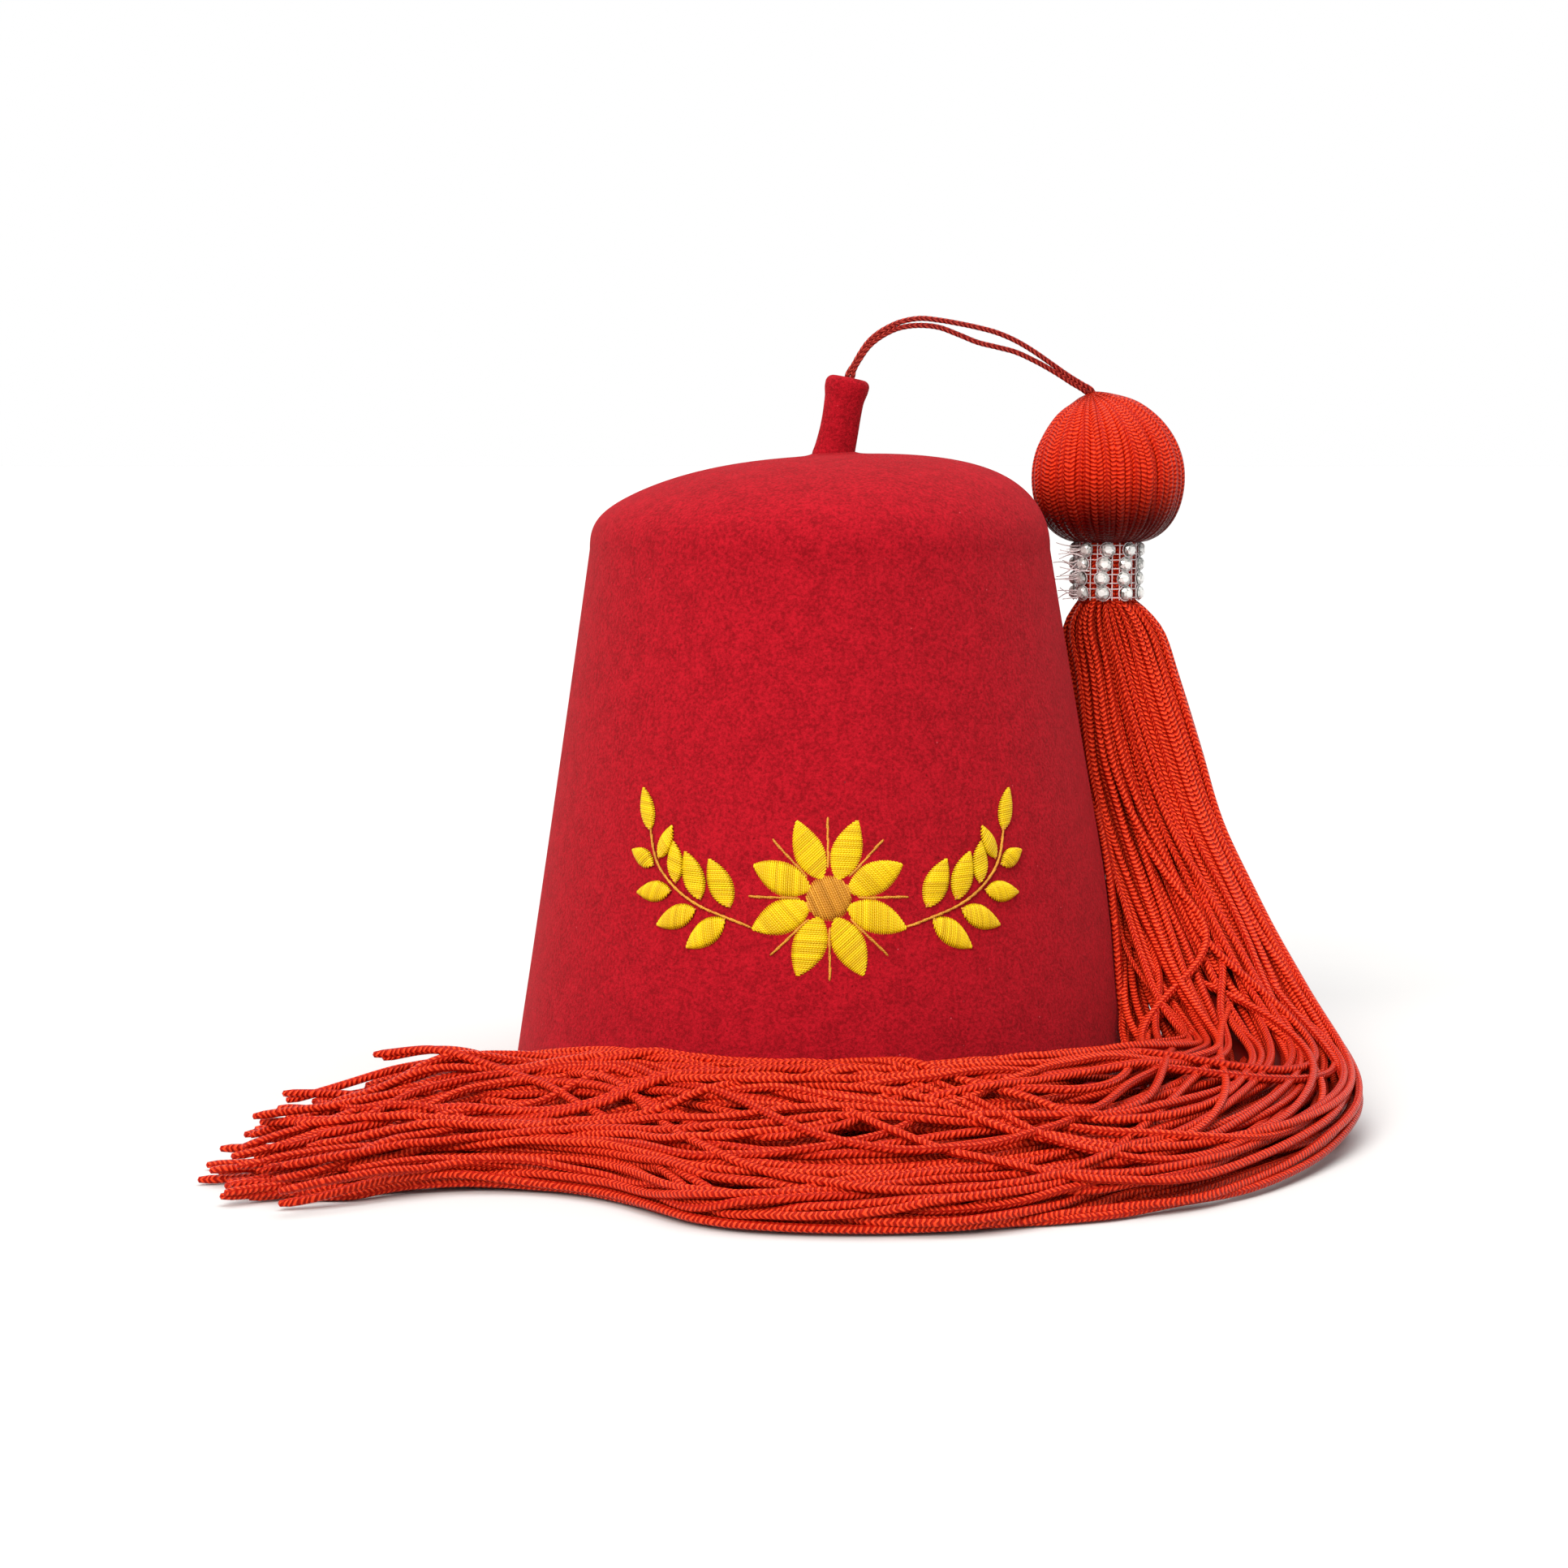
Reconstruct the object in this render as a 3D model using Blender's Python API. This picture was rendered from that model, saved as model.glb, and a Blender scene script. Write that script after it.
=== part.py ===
"""A blocked felt fez with a felt stem and a long silky tassel that lies round its rim.

The hat stands on its rim. X runs to the wearer's left as the front is seen, Y runs to the back, Z runs up.
Every size is in metres. The hat's own axis stands at the origin while the pieces are made, and one empty
carries them all, so that the whole object ends up centred over the origin.
"""

import math
from typing import NamedTuple

import bmesh
import bpy
from mathutils import Matrix, Vector

# Driving sizes of the felt crown
RIM_WIDTH = 0.168
RIM_DEPTH = 0.200
SHOULDER_WIDTH = 0.1216
SHOULDER_DEPTH = 0.146
SHOULDER_HEIGHT = 0.141
CROWN_HEIGHT = 0.1655
FELT_THICKNESS = 0.0022
WAIST_DEPTH = 0.0004
CROWN_LEAN = 0.0021
TOP_SLANT = 0.056
DOME_POWER = 2.4
SLANT_FADE_POWER = 8
CROWN_SIDES = 44

# Driving sizes of the felt stem on top
STEM_DIAMETER = 0.0107
STEM_LENGTH = 0.0205
STEM_LEAN_DEGREES = 11.5
STEM_OFFSET = 0.0015
STEM_FOOT_FLARE = 0.0009
STEM_TOP_FLARE = 0.0003
STEM_TOP_ROUNDING = 0.0012
STEM_SIDES = 20

# Driving sizes of the two braided strands that carry the tassel
STRAND_DIAMETER = 0.0014
STRAND_SPREAD = 0.0020
STRAND_SWING_POWER = 1.4
STRAND_SOCKET_DEPTH = 0.0045
STRAND_SOCKET_DIAMETER = 0.0050
STRAND_END_GAP = 0.0008
STRAND_POINT_SPACING = 2.6

# Driving sizes of the tassel
HEAD_DIAMETER = 0.041
HEAD_RISE = 0.0230
HEAD_DROP = 0.0170
HEAD_ABOVE_SHOULDER = 0.0185
HEAD_BACK_OFFSET = 0.021
HEAD_TUCK = 0.0032
HEAD_TILT_DEGREES = 12.0
HEAD_TOP_POWER = 1.25
HEAD_BASE_POWER = 0.32
NECK_DIAMETER = 0.0156
SKIRT_WIDTH = 0.0295
SKIRT_THICKNESS = 0.0225
PILE_WIDTH = 0.076
PILE_THICKNESS = 0.0200
TIP_LENGTH = 0.036
LOCKS = 12
POINTS_PER_LOCK = 4
LOCK_GROOVE = 0.13
HEAD_GROOVE = 0.045
GROOVE_SHARPNESS = 1.5
LOCK_TWIST_DEGREES = 70.0
LYING_SQUARENESS = 0.78
TIP_SPREAD = 0.25
TIP_SINK = 0.2
SKIRT_RINGS = 32

# Driving sizes of the stone net round the tassel's neck
NET_THICKNESS = 0.0008
NET_COLUMNS = 9
NET_ROWS = 4
NET_ROW_PITCH = 0.0039
NET_BAR_HEIGHT = 0.0013
NET_WINDOW_SHARE = 0.38
STONE_DIAMETER = 0.0037
STONE_GIRDLE = 0.0004
STONE_RISE = 0.0009
STONE_TABLE_SHARE = 0.5
STONE_SIDES = 8

CLEARANCE = 0.0003


class Station(NamedTuple):
    """One section of the tassel's skirt.

    side and front place the edge next to the hat, as shares of the felt wall's half width and half depth at
    that height. rise is the section's middle as a share of the neck's height, and 0 means that it lies on
    the ground. width and thickness are shares of the skirt's sizes while it hangs, and of the pile's sizes
    where it lies. heading is the way the width runs in plan, from +X. slope makes the side next to the hat
    the thicker one.
    """

    side: float
    front: float
    rise: float
    width: float
    thickness: float
    heading: float
    slope: float


HANGING = (
    Station(side=1.010, front=0.258, rise=0.941, width=0.97, thickness=0.88, heading=0, slope=0.0),
    Station(side=1.000, front=0.214, rise=0.826, width=1.06, thickness=0.97, heading=0, slope=0.0),
    Station(side=1.008, front=0.156, rise=0.681, width=1.11, thickness=1.02, heading=0, slope=0.0),
    Station(side=1.014, front=0.069, rise=0.524, width=1.16, thickness=1.06, heading=0, slope=0.0),
    Station(side=1.014, front=-0.055, rise=0.380, width=1.31, thickness=1.10, heading=0, slope=0.0),
    Station(side=1.000, front=-0.213, rise=0.253, width=1.50, thickness=1.10, heading=0, slope=0.0),
    Station(side=0.970, front=-0.394, rise=0.151, width=1.72, thickness=1.06, heading=-3, slope=0.1),
)
LYING = (
    Station(side=0.945, front=-0.553, rise=0, width=0.745, thickness=1.06, heading=-15, slope=0.2),
    Station(side=0.869, front=-0.640, rise=0, width=0.82, thickness=1.03, heading=-36, slope=0.35),
    Station(side=0.750, front=-0.790, rise=0, width=0.88, thickness=1.02, heading=-53, slope=0.5),
    Station(side=0.595, front=-0.890, rise=0, width=1.00, thickness=1.00, heading=-68, slope=0.6),
    Station(side=0.405, front=-0.980, rise=0, width=1.03, thickness=1.00, heading=-79, slope=0.65),
    Station(side=0.179, front=-1.030, rise=0, width=1.03, thickness=1.00, heading=-86, slope=0.65),
    Station(side=-0.095, front=-1.035, rise=0, width=1.02, thickness=1.00, heading=-90, slope=0.65),
    Station(side=-0.357, front=-0.995, rise=0, width=0.96, thickness=1.00, heading=-90, slope=0.65),
    Station(side=-0.607, front=-0.885, rise=0, width=0.79, thickness=0.98, heading=-90, slope=0.6),
    Station(side=-0.857, front=-0.780, rise=0, width=0.80, thickness=0.88, heading=-90, slope=0.5),
    Station(side=-1.130, front=-0.760, rise=0, width=0.84, thickness=0.90, heading=-90, slope=0.45),
    Station(side=-1.330, front=-0.800, rise=0, width=0.88, thickness=0.84, heading=-90, slope=0.4),
)

# How far each lock's tip runs on past the skirt's last section, as a share of the tip length
TIP_REACH = (0.45, 0.8, 1.0, 0.62, 0.3, 0.5, 0.24, 0.42, 0.7, 0.95, 0.55, 0.72)


class Narrowing(NamedTuple):
    """One ring of a lock's tip: how far along the tip it is, and what share of the lock's size it keeps."""

    along: float
    keep: float


TIP_RINGS = (
    Narrowing(along=0.12, keep=0.86),
    Narrowing(along=0.55, keep=0.62),
    Narrowing(along=0.90, keep=0.36),
    Narrowing(along=1.00, keep=0.20),
)


class Arch(NamedTuple):
    """One place of the two strands that carry the tassel.

    reach is the share of the way from the stem's mouth to the mouth in the tassel's head. upper and lower
    are how high each strand's middle runs there above the straight line between the two mouths.
    """

    reach: float
    upper: float
    lower: float


ARCHES = (
    Arch(reach=0.020, upper=0.0049, lower=0.0013),
    Arch(reach=0.045, upper=0.0078, lower=0.0043),
    Arch(reach=0.080, upper=0.0107, lower=0.0079),
    Arch(reach=0.130, upper=0.0132, lower=0.0110),
    Arch(reach=0.200, upper=0.0155, lower=0.0136),
    Arch(reach=0.280, upper=0.0167, lower=0.0148),
    Arch(reach=0.360, upper=0.0166, lower=0.0147),
    Arch(reach=0.440, upper=0.0161, lower=0.0132),
    Arch(reach=0.520, upper=0.0154, lower=0.0115),
    Arch(reach=0.600, upper=0.0144, lower=0.0106),
    Arch(reach=0.680, upper=0.0126, lower=0.0096),
    Arch(reach=0.760, upper=0.0100, lower=0.0076),
    Arch(reach=0.840, upper=0.0071, lower=0.0049),
    Arch(reach=0.910, upper=0.0046, lower=0.0022),
    Arch(reach=0.965, upper=0.0028, lower=0.0003),
)


class Finish(NamedTuple):
    """A plain finish for one sub-part."""

    name: str
    colour: tuple
    roughness: float
    transmission: float = 0.0


RED_FELT = Finish("red wool felt", (0.46, 0.008, 0.022), 0.95)
ORANGE_RED_CORD = Finish("orange red rayon cord", (0.72, 0.042, 0.018), 0.55)
DARK_RED_BRAID = Finish("dark red braid", (0.50, 0.022, 0.020), 0.6)
CLEAR_STONES = Finish("clear cut stones on a plastic net", (0.82, 0.83, 0.85), 0.12, 0.3)


def material(finish):
    """A Principled material made from a finish."""
    made = bpy.data.materials.new(finish.name)
    made.use_nodes = True
    shader = made.node_tree.nodes["Principled BSDF"]
    shader.inputs["Base Color"].default_value = (*finish.colour, 1.0)
    shader.inputs["Roughness"].default_value = finish.roughness
    shader.inputs["Metallic"].default_value = 0.0
    shader.inputs["Transmission Weight"].default_value = finish.transmission
    made.diffuse_color = (*finish.colour, 1.0)
    return made


def solid(name, vertices, faces, finish, root):
    """One closed, smooth-shaded object from vertices and faces, parented to the root empty."""
    mesh = bpy.data.meshes.new(name)
    mesh.from_pydata([tuple(v) for v in vertices], [], faces)
    shape = bmesh.new()
    shape.from_mesh(mesh)
    bmesh.ops.recalc_face_normals(shape, faces=shape.faces[:])
    bmesh.ops.triangulate(shape, faces=[f for f in shape.faces if len(f.verts) > 4])
    shape.to_mesh(mesh)
    shape.free()
    mesh.shade_smooth()
    mesh.set_sharp_from_angle(angle=math.radians(40))
    mesh.materials.append(material(finish))
    made = bpy.data.objects.new(name, mesh)
    bpy.context.scene.collection.objects.link(made)
    made.parent = root
    return made


def ring_faces(first, second):
    """Quads between two rings given as lists of vertex numbers."""
    count = len(first)
    return [
        (first[i], first[(i + 1) % count], second[(i + 1) % count], second[i])
        for i in range(count)
    ]


def cap_faces(ring, middle):
    """Triangles from a ring of vertex numbers to one middle vertex."""
    count = len(ring)
    return [(ring[i], ring[(i + 1) % count], middle) for i in range(count)]


class Lofted:
    """Vertices and faces that grow ring by ring, from one middle point to another."""

    def __init__(self, start):
        self.vertices = [start]
        self.faces = []
        self.ring = None

    def add(self, points):
        first = len(self.vertices)
        self.vertices.extend(points)
        ring = list(range(first, len(self.vertices)))
        if self.ring is None:
            self.faces.extend(cap_faces(ring, 0))
        else:
            self.faces.extend(ring_faces(self.ring, ring))
        self.ring = ring

    def close(self, end):
        self.vertices.append(end)
        self.faces.extend(cap_faces(self.ring, len(self.vertices) - 1))


def blend(a, b, share):
    """The value that lies a share of the way from a to b."""
    return a + (b - a) * share


def through(values, place):
    """A smooth curve through values, read at a place counted in values from the first."""
    last = len(values) - 1
    i = min(max(int(place), 0), last - 1)
    t = place - i
    before = values[max(i - 1, 0)]
    after = values[min(i + 2, last)]
    start, end = values[i], values[i + 1]
    leaving = (end - before) * (0.5 if i > 0 else 1.0)
    coming = (after - start) * (0.5 if i + 2 <= last else 1.0)
    return (
        start * (2 * t**3 - 3 * t**2 + 1)
        + leaving * (t**3 - 2 * t**2 + t)
        + end * (3 * t**2 - 2 * t**3)
        + coming * (t**3 - t**2)
    )


def crown_middle(height):
    """How far the felt's middle has leaned along X at a height."""
    return -CROWN_LEAN * min(height / SHOULDER_HEIGHT, 1.0)


def wall_half(height):
    """The felt wall's outer half width and half depth at a height up to the shoulder."""
    share = min(height / SHOULDER_HEIGHT, 1.0)
    waist = WAIST_DEPTH * 4 * share * (1 - share)
    half_width = blend(RIM_WIDTH, SHOULDER_WIDTH, share) / 2 - waist
    half_depth = blend(RIM_DEPTH, SHOULDER_DEPTH, share) / 2 - waist
    return half_width, half_depth


def wall_point(height, angle, inset):
    """A point of the felt's wall, inset from its outside."""
    half_width, half_depth = wall_half(height)
    x = crown_middle(height) + (half_width - inset) * math.cos(angle)
    return Vector((x, (half_depth - inset) * math.sin(angle), height))


def dome_height(share, x, inset):
    """The dome's height at a share of the way from its middle to the shoulder."""
    rise = (CROWN_HEIGHT - inset - SHOULDER_HEIGHT) * (1 - share**DOME_POWER) ** (1 / DOME_POWER)
    return SHOULDER_HEIGHT + rise + TOP_SLANT * x * (1 - share**SLANT_FADE_POWER)


def dome_point(share, angle, inset):
    """A point of the felt's domed top, inset from its outside."""
    x = (SHOULDER_WIDTH / 2 - inset) * share * math.cos(angle)
    y = (SHOULDER_DEPTH / 2 - inset) * share * math.sin(angle)
    return Vector((x - CROWN_LEAN, y, dome_height(share, x, inset)))


def height_on_dome(x, y):
    """The height of the dome's outside over a place in plan."""
    across = x + CROWN_LEAN
    share = math.hypot(across / (SHOULDER_WIDTH / 2), y / (SHOULDER_DEPTH / 2))
    return dome_height(share, across, 0.0)


def around(sides):
    """The angles of a ring's corners."""
    return [2 * math.pi * i / sides for i in range(sides)]


def felt_crown(root):
    """One shell of blocked felt, open below: outside up to the dome's middle, and inside back to the rim."""
    outer_heights = (0.0, 0.14, 0.36, 0.58, 0.80, 1.0)
    outer_shares = (0.985, 0.95, 0.89, 0.80, 0.66, 0.46, 0.22)
    inner_heights = (1.0, 0.66, 0.33, 0.0)
    inner_shares = (0.2, 0.5, 0.74, 0.9, 0.975)
    angles = around(CROWN_SIDES)
    shell = Lofted(dome_point(0.0, 0.0, 0.0))
    for share in reversed(outer_shares):
        shell.add([dome_point(share, a, 0.0) for a in angles])
    for share in reversed(outer_heights):
        shell.add([wall_point(share * SHOULDER_HEIGHT, a, 0.0) for a in angles])
    for share in reversed(inner_heights):
        shell.add([wall_point(share * SHOULDER_HEIGHT, a, FELT_THICKNESS) for a in angles])
    for share in reversed(inner_shares):
        shell.add([dome_point(share, a, FELT_THICKNESS) for a in angles])
    shell.close(dome_point(0.0, 0.0, FELT_THICKNESS))
    return solid("crown", shell.vertices, shell.faces, RED_FELT, root)


def stem_axis():
    """The stem's foot on the dome and the way it leans."""
    foot = Vector((STEM_OFFSET, 0.0, height_on_dome(STEM_OFFSET, 0.0)))
    lean = math.radians(STEM_LEAN_DEGREES)
    return foot, Vector((math.sin(lean), 0.0, math.cos(lean)))


def felt_stem(root):
    """The leaning felt stub, seated on the dome, with a socket in its top for the strands."""
    foot, up = stem_axis()
    side = Vector((0.0, 1.0, 0.0)).cross(up)
    angles = around(STEM_SIDES)
    radius = STEM_DIAMETER / 2
    top = radius + STEM_TOP_FLARE
    rounding = STEM_TOP_ROUNDING
    socket = STRAND_SOCKET_DIAMETER / 2

    def seat(r):
        """A ring that follows the dome just above it."""
        points = []
        for a in angles:
            x = foot.x + r * math.cos(a)
            y = foot.y + r * math.sin(a)
            points.append(Vector((x, y, height_on_dome(x, y) + CLEARANCE)))
        return points

    def collar(r, along):
        """A ring square to the stem, at a distance along it."""
        middle = foot + up * along
        return [middle + (side * math.cos(a) + Vector((0, 1, 0)) * math.sin(a)) * r for a in angles]

    stub = Lofted(foot + Vector((0, 0, CLEARANCE)))
    stub.add(seat(radius * 0.5))
    stub.add(seat(radius + STEM_FOOT_FLARE))
    for r, along in (
        (radius + STEM_FOOT_FLARE * 0.35, 0.10 * STEM_LENGTH),
        (radius, 0.22 * STEM_LENGTH),
        (radius - STEM_TOP_FLARE, 0.60 * STEM_LENGTH),
        (top, STEM_LENGTH - 2.2 * rounding),
        (top, STEM_LENGTH - rounding),
        (top - 0.3 * rounding, STEM_LENGTH - 0.3 * rounding),
        (top - rounding, STEM_LENGTH),
        (socket, STEM_LENGTH),
        (socket, STEM_LENGTH - STRAND_SOCKET_DEPTH),
    ):
        stub.add(collar(r, along))
    stub.close(foot + up * (STEM_LENGTH - STRAND_SOCKET_DEPTH))
    return solid("stem", stub.vertices, stub.faces, RED_FELT, root)


def head_up():
    """The way the tassel's head points, tilted towards the stem."""
    tilt = math.radians(HEAD_TILT_DEGREES)
    return Vector((-math.sin(tilt), 0.0, math.cos(tilt)))


def strand_places(rises, side):
    """The places one strand passes through, from its end in the stem's socket to its end in the head's.

    rises are its heights above the straight line at the arches. side is 1 for the strand on the outside of
    the bends, and -1 for the one on their inside.
    """
    foot, stem_up = stem_axis()
    stem_mouth = foot + stem_up * STEM_LENGTH
    head_mouth = head_middle() + head_up() * HEAD_RISE
    offset = Vector((side * STRAND_SPREAD / 2, 0.0, 0.0))
    inside = STRAND_SOCKET_DEPTH - STRAND_END_GAP
    places = [stem_mouth - stem_up * inside - offset, stem_mouth - offset]
    for arch, rise in zip(ARCHES, rises):
        place = stem_mouth.lerp(head_mouth, arch.reach)
        place.y = blend(stem_mouth.y, head_mouth.y, arch.reach**STRAND_SWING_POWER)
        place.z += rise
        places.append(place)
    return places + [head_mouth + offset, head_mouth - head_up() * inside + offset]


def strand(name, places, root):
    """One braided strand of the hanging loop, as a round tube along a smooth curve through its places."""
    length = sum((b - a).length for a, b in zip(places, places[1:]))
    count = max(2, round(length / (STRAND_POINT_SPACING * STRAND_DIAMETER)))
    curve = bpy.data.curves.new(name, "CURVE")
    curve.dimensions = "3D"
    curve.bevel_depth = STRAND_DIAMETER / 2
    curve.bevel_resolution = 2
    curve.use_fill_caps = True
    line = curve.splines.new("POLY")
    line.points.add(count)
    for i in range(count + 1):
        point = through(places, (len(places) - 1) * i / count)
        line.points[i].co = (*point, 1.0)
    curve.materials.append(material(DARK_RED_BRAID))
    made = bpy.data.objects.new(name, curve)
    bpy.context.scene.collection.objects.link(made)
    made.parent = root
    return made


def head_middle():
    """The middle of the tassel's round head, beside the crown's shoulder."""
    x = SHOULDER_WIDTH / 2 - CROWN_LEAN + HEAD_DIAMETER / 2 - HEAD_TUCK
    return Vector((x, HEAD_BACK_OFFSET, SHOULDER_HEIGHT + HEAD_ABOVE_SHOULDER))


def lock_groove(i, depth):
    """How much of its radius a point of a ring keeps, with a groove between each two locks."""
    share = (i % POINTS_PER_LOCK) / POINTS_PER_LOCK
    return 1 - depth * (1 - math.sin(math.pi * share)) ** GROOVE_SHARPNESS


def head_ring(radius, along, tilt, depth):
    """A ring of the head, at a distance up its axis, with the axis tilted towards the stem."""
    count = LOCKS * POINTS_PER_LOCK
    turn = Matrix.Rotation(-tilt, 3, "Y")
    middle = head_middle()
    points = []
    for i, a in enumerate(around(count)):
        r = radius * lock_groove(i, depth)
        points.append(middle + turn @ Vector((r * math.cos(a), -r * math.sin(a), along)))
    return points


def head_profile():
    """The head's radius, height above its middle and groove depth, from its socket down to the neck."""
    radius = HEAD_DIAMETER / 2
    socket = STRAND_SOCKET_DIAMETER / 2
    upper = [math.radians(a) for a in (9, 16, 27, 42, 60, 78)]
    lower = [math.radians(a) for a in (96, 112, 128, 143, 156, 166, 173)]
    yield socket, HEAD_RISE - STRAND_SOCKET_DEPTH, 0.0
    yield socket, HEAD_RISE - 0.12 * STRAND_SOCKET_DEPTH, 0.0
    for a in upper:
        reach = radius * math.sin(a) ** HEAD_TOP_POWER
        yield max(reach, socket * 1.3), HEAD_RISE * math.cos(a), HEAD_GROOVE
    for a in lower:
        reach = radius * math.sin(a) ** HEAD_BASE_POWER
        yield reach, HEAD_DROP * math.cos(a), HEAD_GROOVE


class Section(NamedTuple):
    """A section of the skirt in space: its middle, its half sizes, its heading and its slope."""

    middle: Vector
    half_width: float
    half_thickness: float
    heading: float
    slope: float


def neck_middle():
    """The middle of the skirt's first section, on the neck just under the stone net."""
    drop = HEAD_DROP + NET_ROWS * NET_ROW_PITCH + 2 * CLEARANCE
    return head_middle() - Vector((0.0, 0.0, drop))


def placed(station):
    """The section that a station stands for."""
    hanging = station.rise > 0
    width = SKIRT_WIDTH if hanging else PILE_WIDTH
    thickness = SKIRT_THICKNESS if hanging else PILE_THICKNESS
    half_width = station.width * width / 2
    half_thickness = station.thickness * thickness / 2
    level = station.rise * neck_middle().z
    height = level if hanging else half_thickness
    wall_width, wall_depth = wall_half(level)
    heading = math.radians(station.heading)
    inner = Vector(
        (crown_middle(height) + station.side * wall_width, station.front * wall_depth, height)
    )
    middle = inner + Vector((math.cos(heading), math.sin(heading), 0.0)) * half_width
    return Section(middle, half_width, half_thickness, heading, station.slope)


def skirt_sections():
    """The skirt's sections from the neck to the end, read from a smooth curve through the stations."""
    neck_half = NECK_DIAMETER / 2
    marks = [Section(neck_middle(), neck_half, neck_half, 0.0, 0.0)]
    marks += [placed(s) for s in HANGING + LYING]
    sections = []
    for ring in range(SKIRT_RINGS + 1):
        place = (len(marks) - 1) * ring / SKIRT_RINGS
        values = [through([getattr(m, f) for m in marks], place) for f in Section._fields]
        sections.append(Section(*values))
    return sections


def section_ring(section, forward, twist, depth):
    """The lobed ring of one section, square to its width and to the way the skirt runs."""
    count = LOCKS * POINTS_PER_LOCK
    across = Vector((math.cos(section.heading), math.sin(section.heading), 0.0))
    up = forward.cross(across).normalized()
    squareness = blend(1.0, LYING_SQUARENESS, max(up.z, 0.0) ** 2)
    points = []
    for i, a in enumerate(around(count)):
        keep = lock_groove(i, depth)
        c, s = math.cos(a + twist), math.sin(a + twist)
        u = keep * math.copysign(abs(c) ** squareness, c)
        v = keep * math.copysign(abs(s) ** squareness, s)
        tall = v * (1 - section.slope * u) - section.slope * u
        point = section.middle + across * (u * section.half_width) + up * (tall * section.half_thickness)
        points.append(Vector((point.x, point.y, max(point.z, 0.0))))
    return points


def lock_tip(body, corners, direction, reach):
    """One lock's own end: its cell of the last ring, drawn out along a direction and narrowed."""
    cell = [body.vertices[i] for i in corners]
    middle = sum(cell, Vector()) / len(cell)
    below = corners
    for mark in TIP_RINGS:
        here = middle + direction * (reach * mark.along)
        here.z *= 1 - TIP_SINK * mark.along
        first = len(body.vertices)
        for corner in cell:
            point = here + (corner - middle) * mark.keep
            body.vertices.append(Vector((point.x, point.y, max(point.z, 0.0))))
        ring = list(range(first, len(body.vertices)))
        body.faces.extend(ring_faces(below, ring))
        below = ring
    body.faces.append(tuple(below))


def tassel(root):
    """The head, the neck under the net and the skirt of locks, one solid with a tip for each lock."""
    tilt = math.radians(HEAD_TILT_DEGREES)
    body = Lofted(head_middle() + head_up() * (HEAD_RISE - STRAND_SOCKET_DEPTH))
    for radius, along, depth in head_profile():
        leaning = tilt * max(along / HEAD_RISE, 0.0)
        body.add(head_ring(radius, along, leaning, depth))
    body.add(head_ring(NECK_DIAMETER / 2, -HEAD_DROP, 0.0, 0.0))

    sections = skirt_sections()
    last = len(sections) - 1
    for i, section in enumerate(sections):
        forward = Vector((0.0, 0.0, -1.0))
        if i > 0:
            forward = sections[min(i + 1, last)].middle - sections[i - 1].middle
        share = i / last
        twist = -math.radians(LOCK_TWIST_DEGREES) * share
        depth = LOCK_GROOVE * min(1.0, 4 * share)
        ring = section_ring(section, forward.normalized(), twist, depth)
        body.add(ring)

    centre = len(body.vertices)
    body.vertices.append(sum(ring, Vector()) / len(ring))
    forward = (sections[-1].middle - sections[-2].middle).normalized()
    for k in range(LOCKS):
        first = k * POINTS_PER_LOCK
        outline = [body.ring[(first + i) % len(body.ring)] for i in range(POINTS_PER_LOCK + 1)]
        corners = outline + [centre]
        outward = body.vertices[outline[2]] - body.vertices[centre]
        direction = forward + outward.normalized() * TIP_SPREAD
        direction.z = 0.0
        reach = TIP_LENGTH * TIP_REACH[k % len(TIP_REACH)]
        lock_tip(body, corners, direction.normalized(), reach)
    return solid("tassel", body.vertices, body.faces, ORANGE_RED_CORD, root)


def stone(vertices, faces, seat, centre, out, along, around_way):
    """A cut stone on its seat: the seat's face is opened to the girdle, then facets rise to the table."""
    rings = []
    for radius, rise in (
        (STONE_DIAMETER / 2, 0.0),
        (STONE_DIAMETER / 2, STONE_GIRDLE),
        (STONE_DIAMETER / 2 * STONE_TABLE_SHARE, STONE_GIRDLE + STONE_RISE),
    ):
        first = len(vertices)
        for a in around(STONE_SIDES):
            a += math.pi / STONE_SIDES
            reach = around_way * (radius * math.cos(a)) + along * (radius * math.sin(a))
            vertices.append(centre + out * rise + reach)
        rings.append(list(range(first, len(vertices))))
    faces.extend(ring_faces(rings[0], rings[1]))
    faces.extend(ring_faces(rings[1], rings[2]))
    faces.append(tuple(rings[2]))
    faces.extend(frame_faces(vertices, seat, rings[0], centre, around_way, along))


def frame_faces(vertices, outer, inner, centre, x_axis, y_axis):
    """Triangles between two loops round one centre, each sorted by its angle there."""

    def angle(i):
        offset = vertices[i] - centre
        return math.atan2(offset.dot(y_axis), offset.dot(x_axis)) % (2 * math.pi)

    outer = sorted(outer, key=angle)
    inner = sorted(inner, key=angle)
    made = []
    i = j = 0
    while i < len(outer) or j < len(inner):
        next_outer = angle(outer[i + 1]) if i + 1 < len(outer) else angle(outer[0]) + 2 * math.pi
        next_inner = angle(inner[j + 1]) if j + 1 < len(inner) else angle(inner[0]) + 2 * math.pi
        a, b = outer[i % len(outer)], inner[j % len(inner)]
        if i < len(outer) and (j >= len(inner) or next_outer <= next_inner):
            i += 1
            made.append((a, outer[i % len(outer)], b))
        else:
            j += 1
            made.append((a, inner[j % len(inner)], b))
    return made


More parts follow.
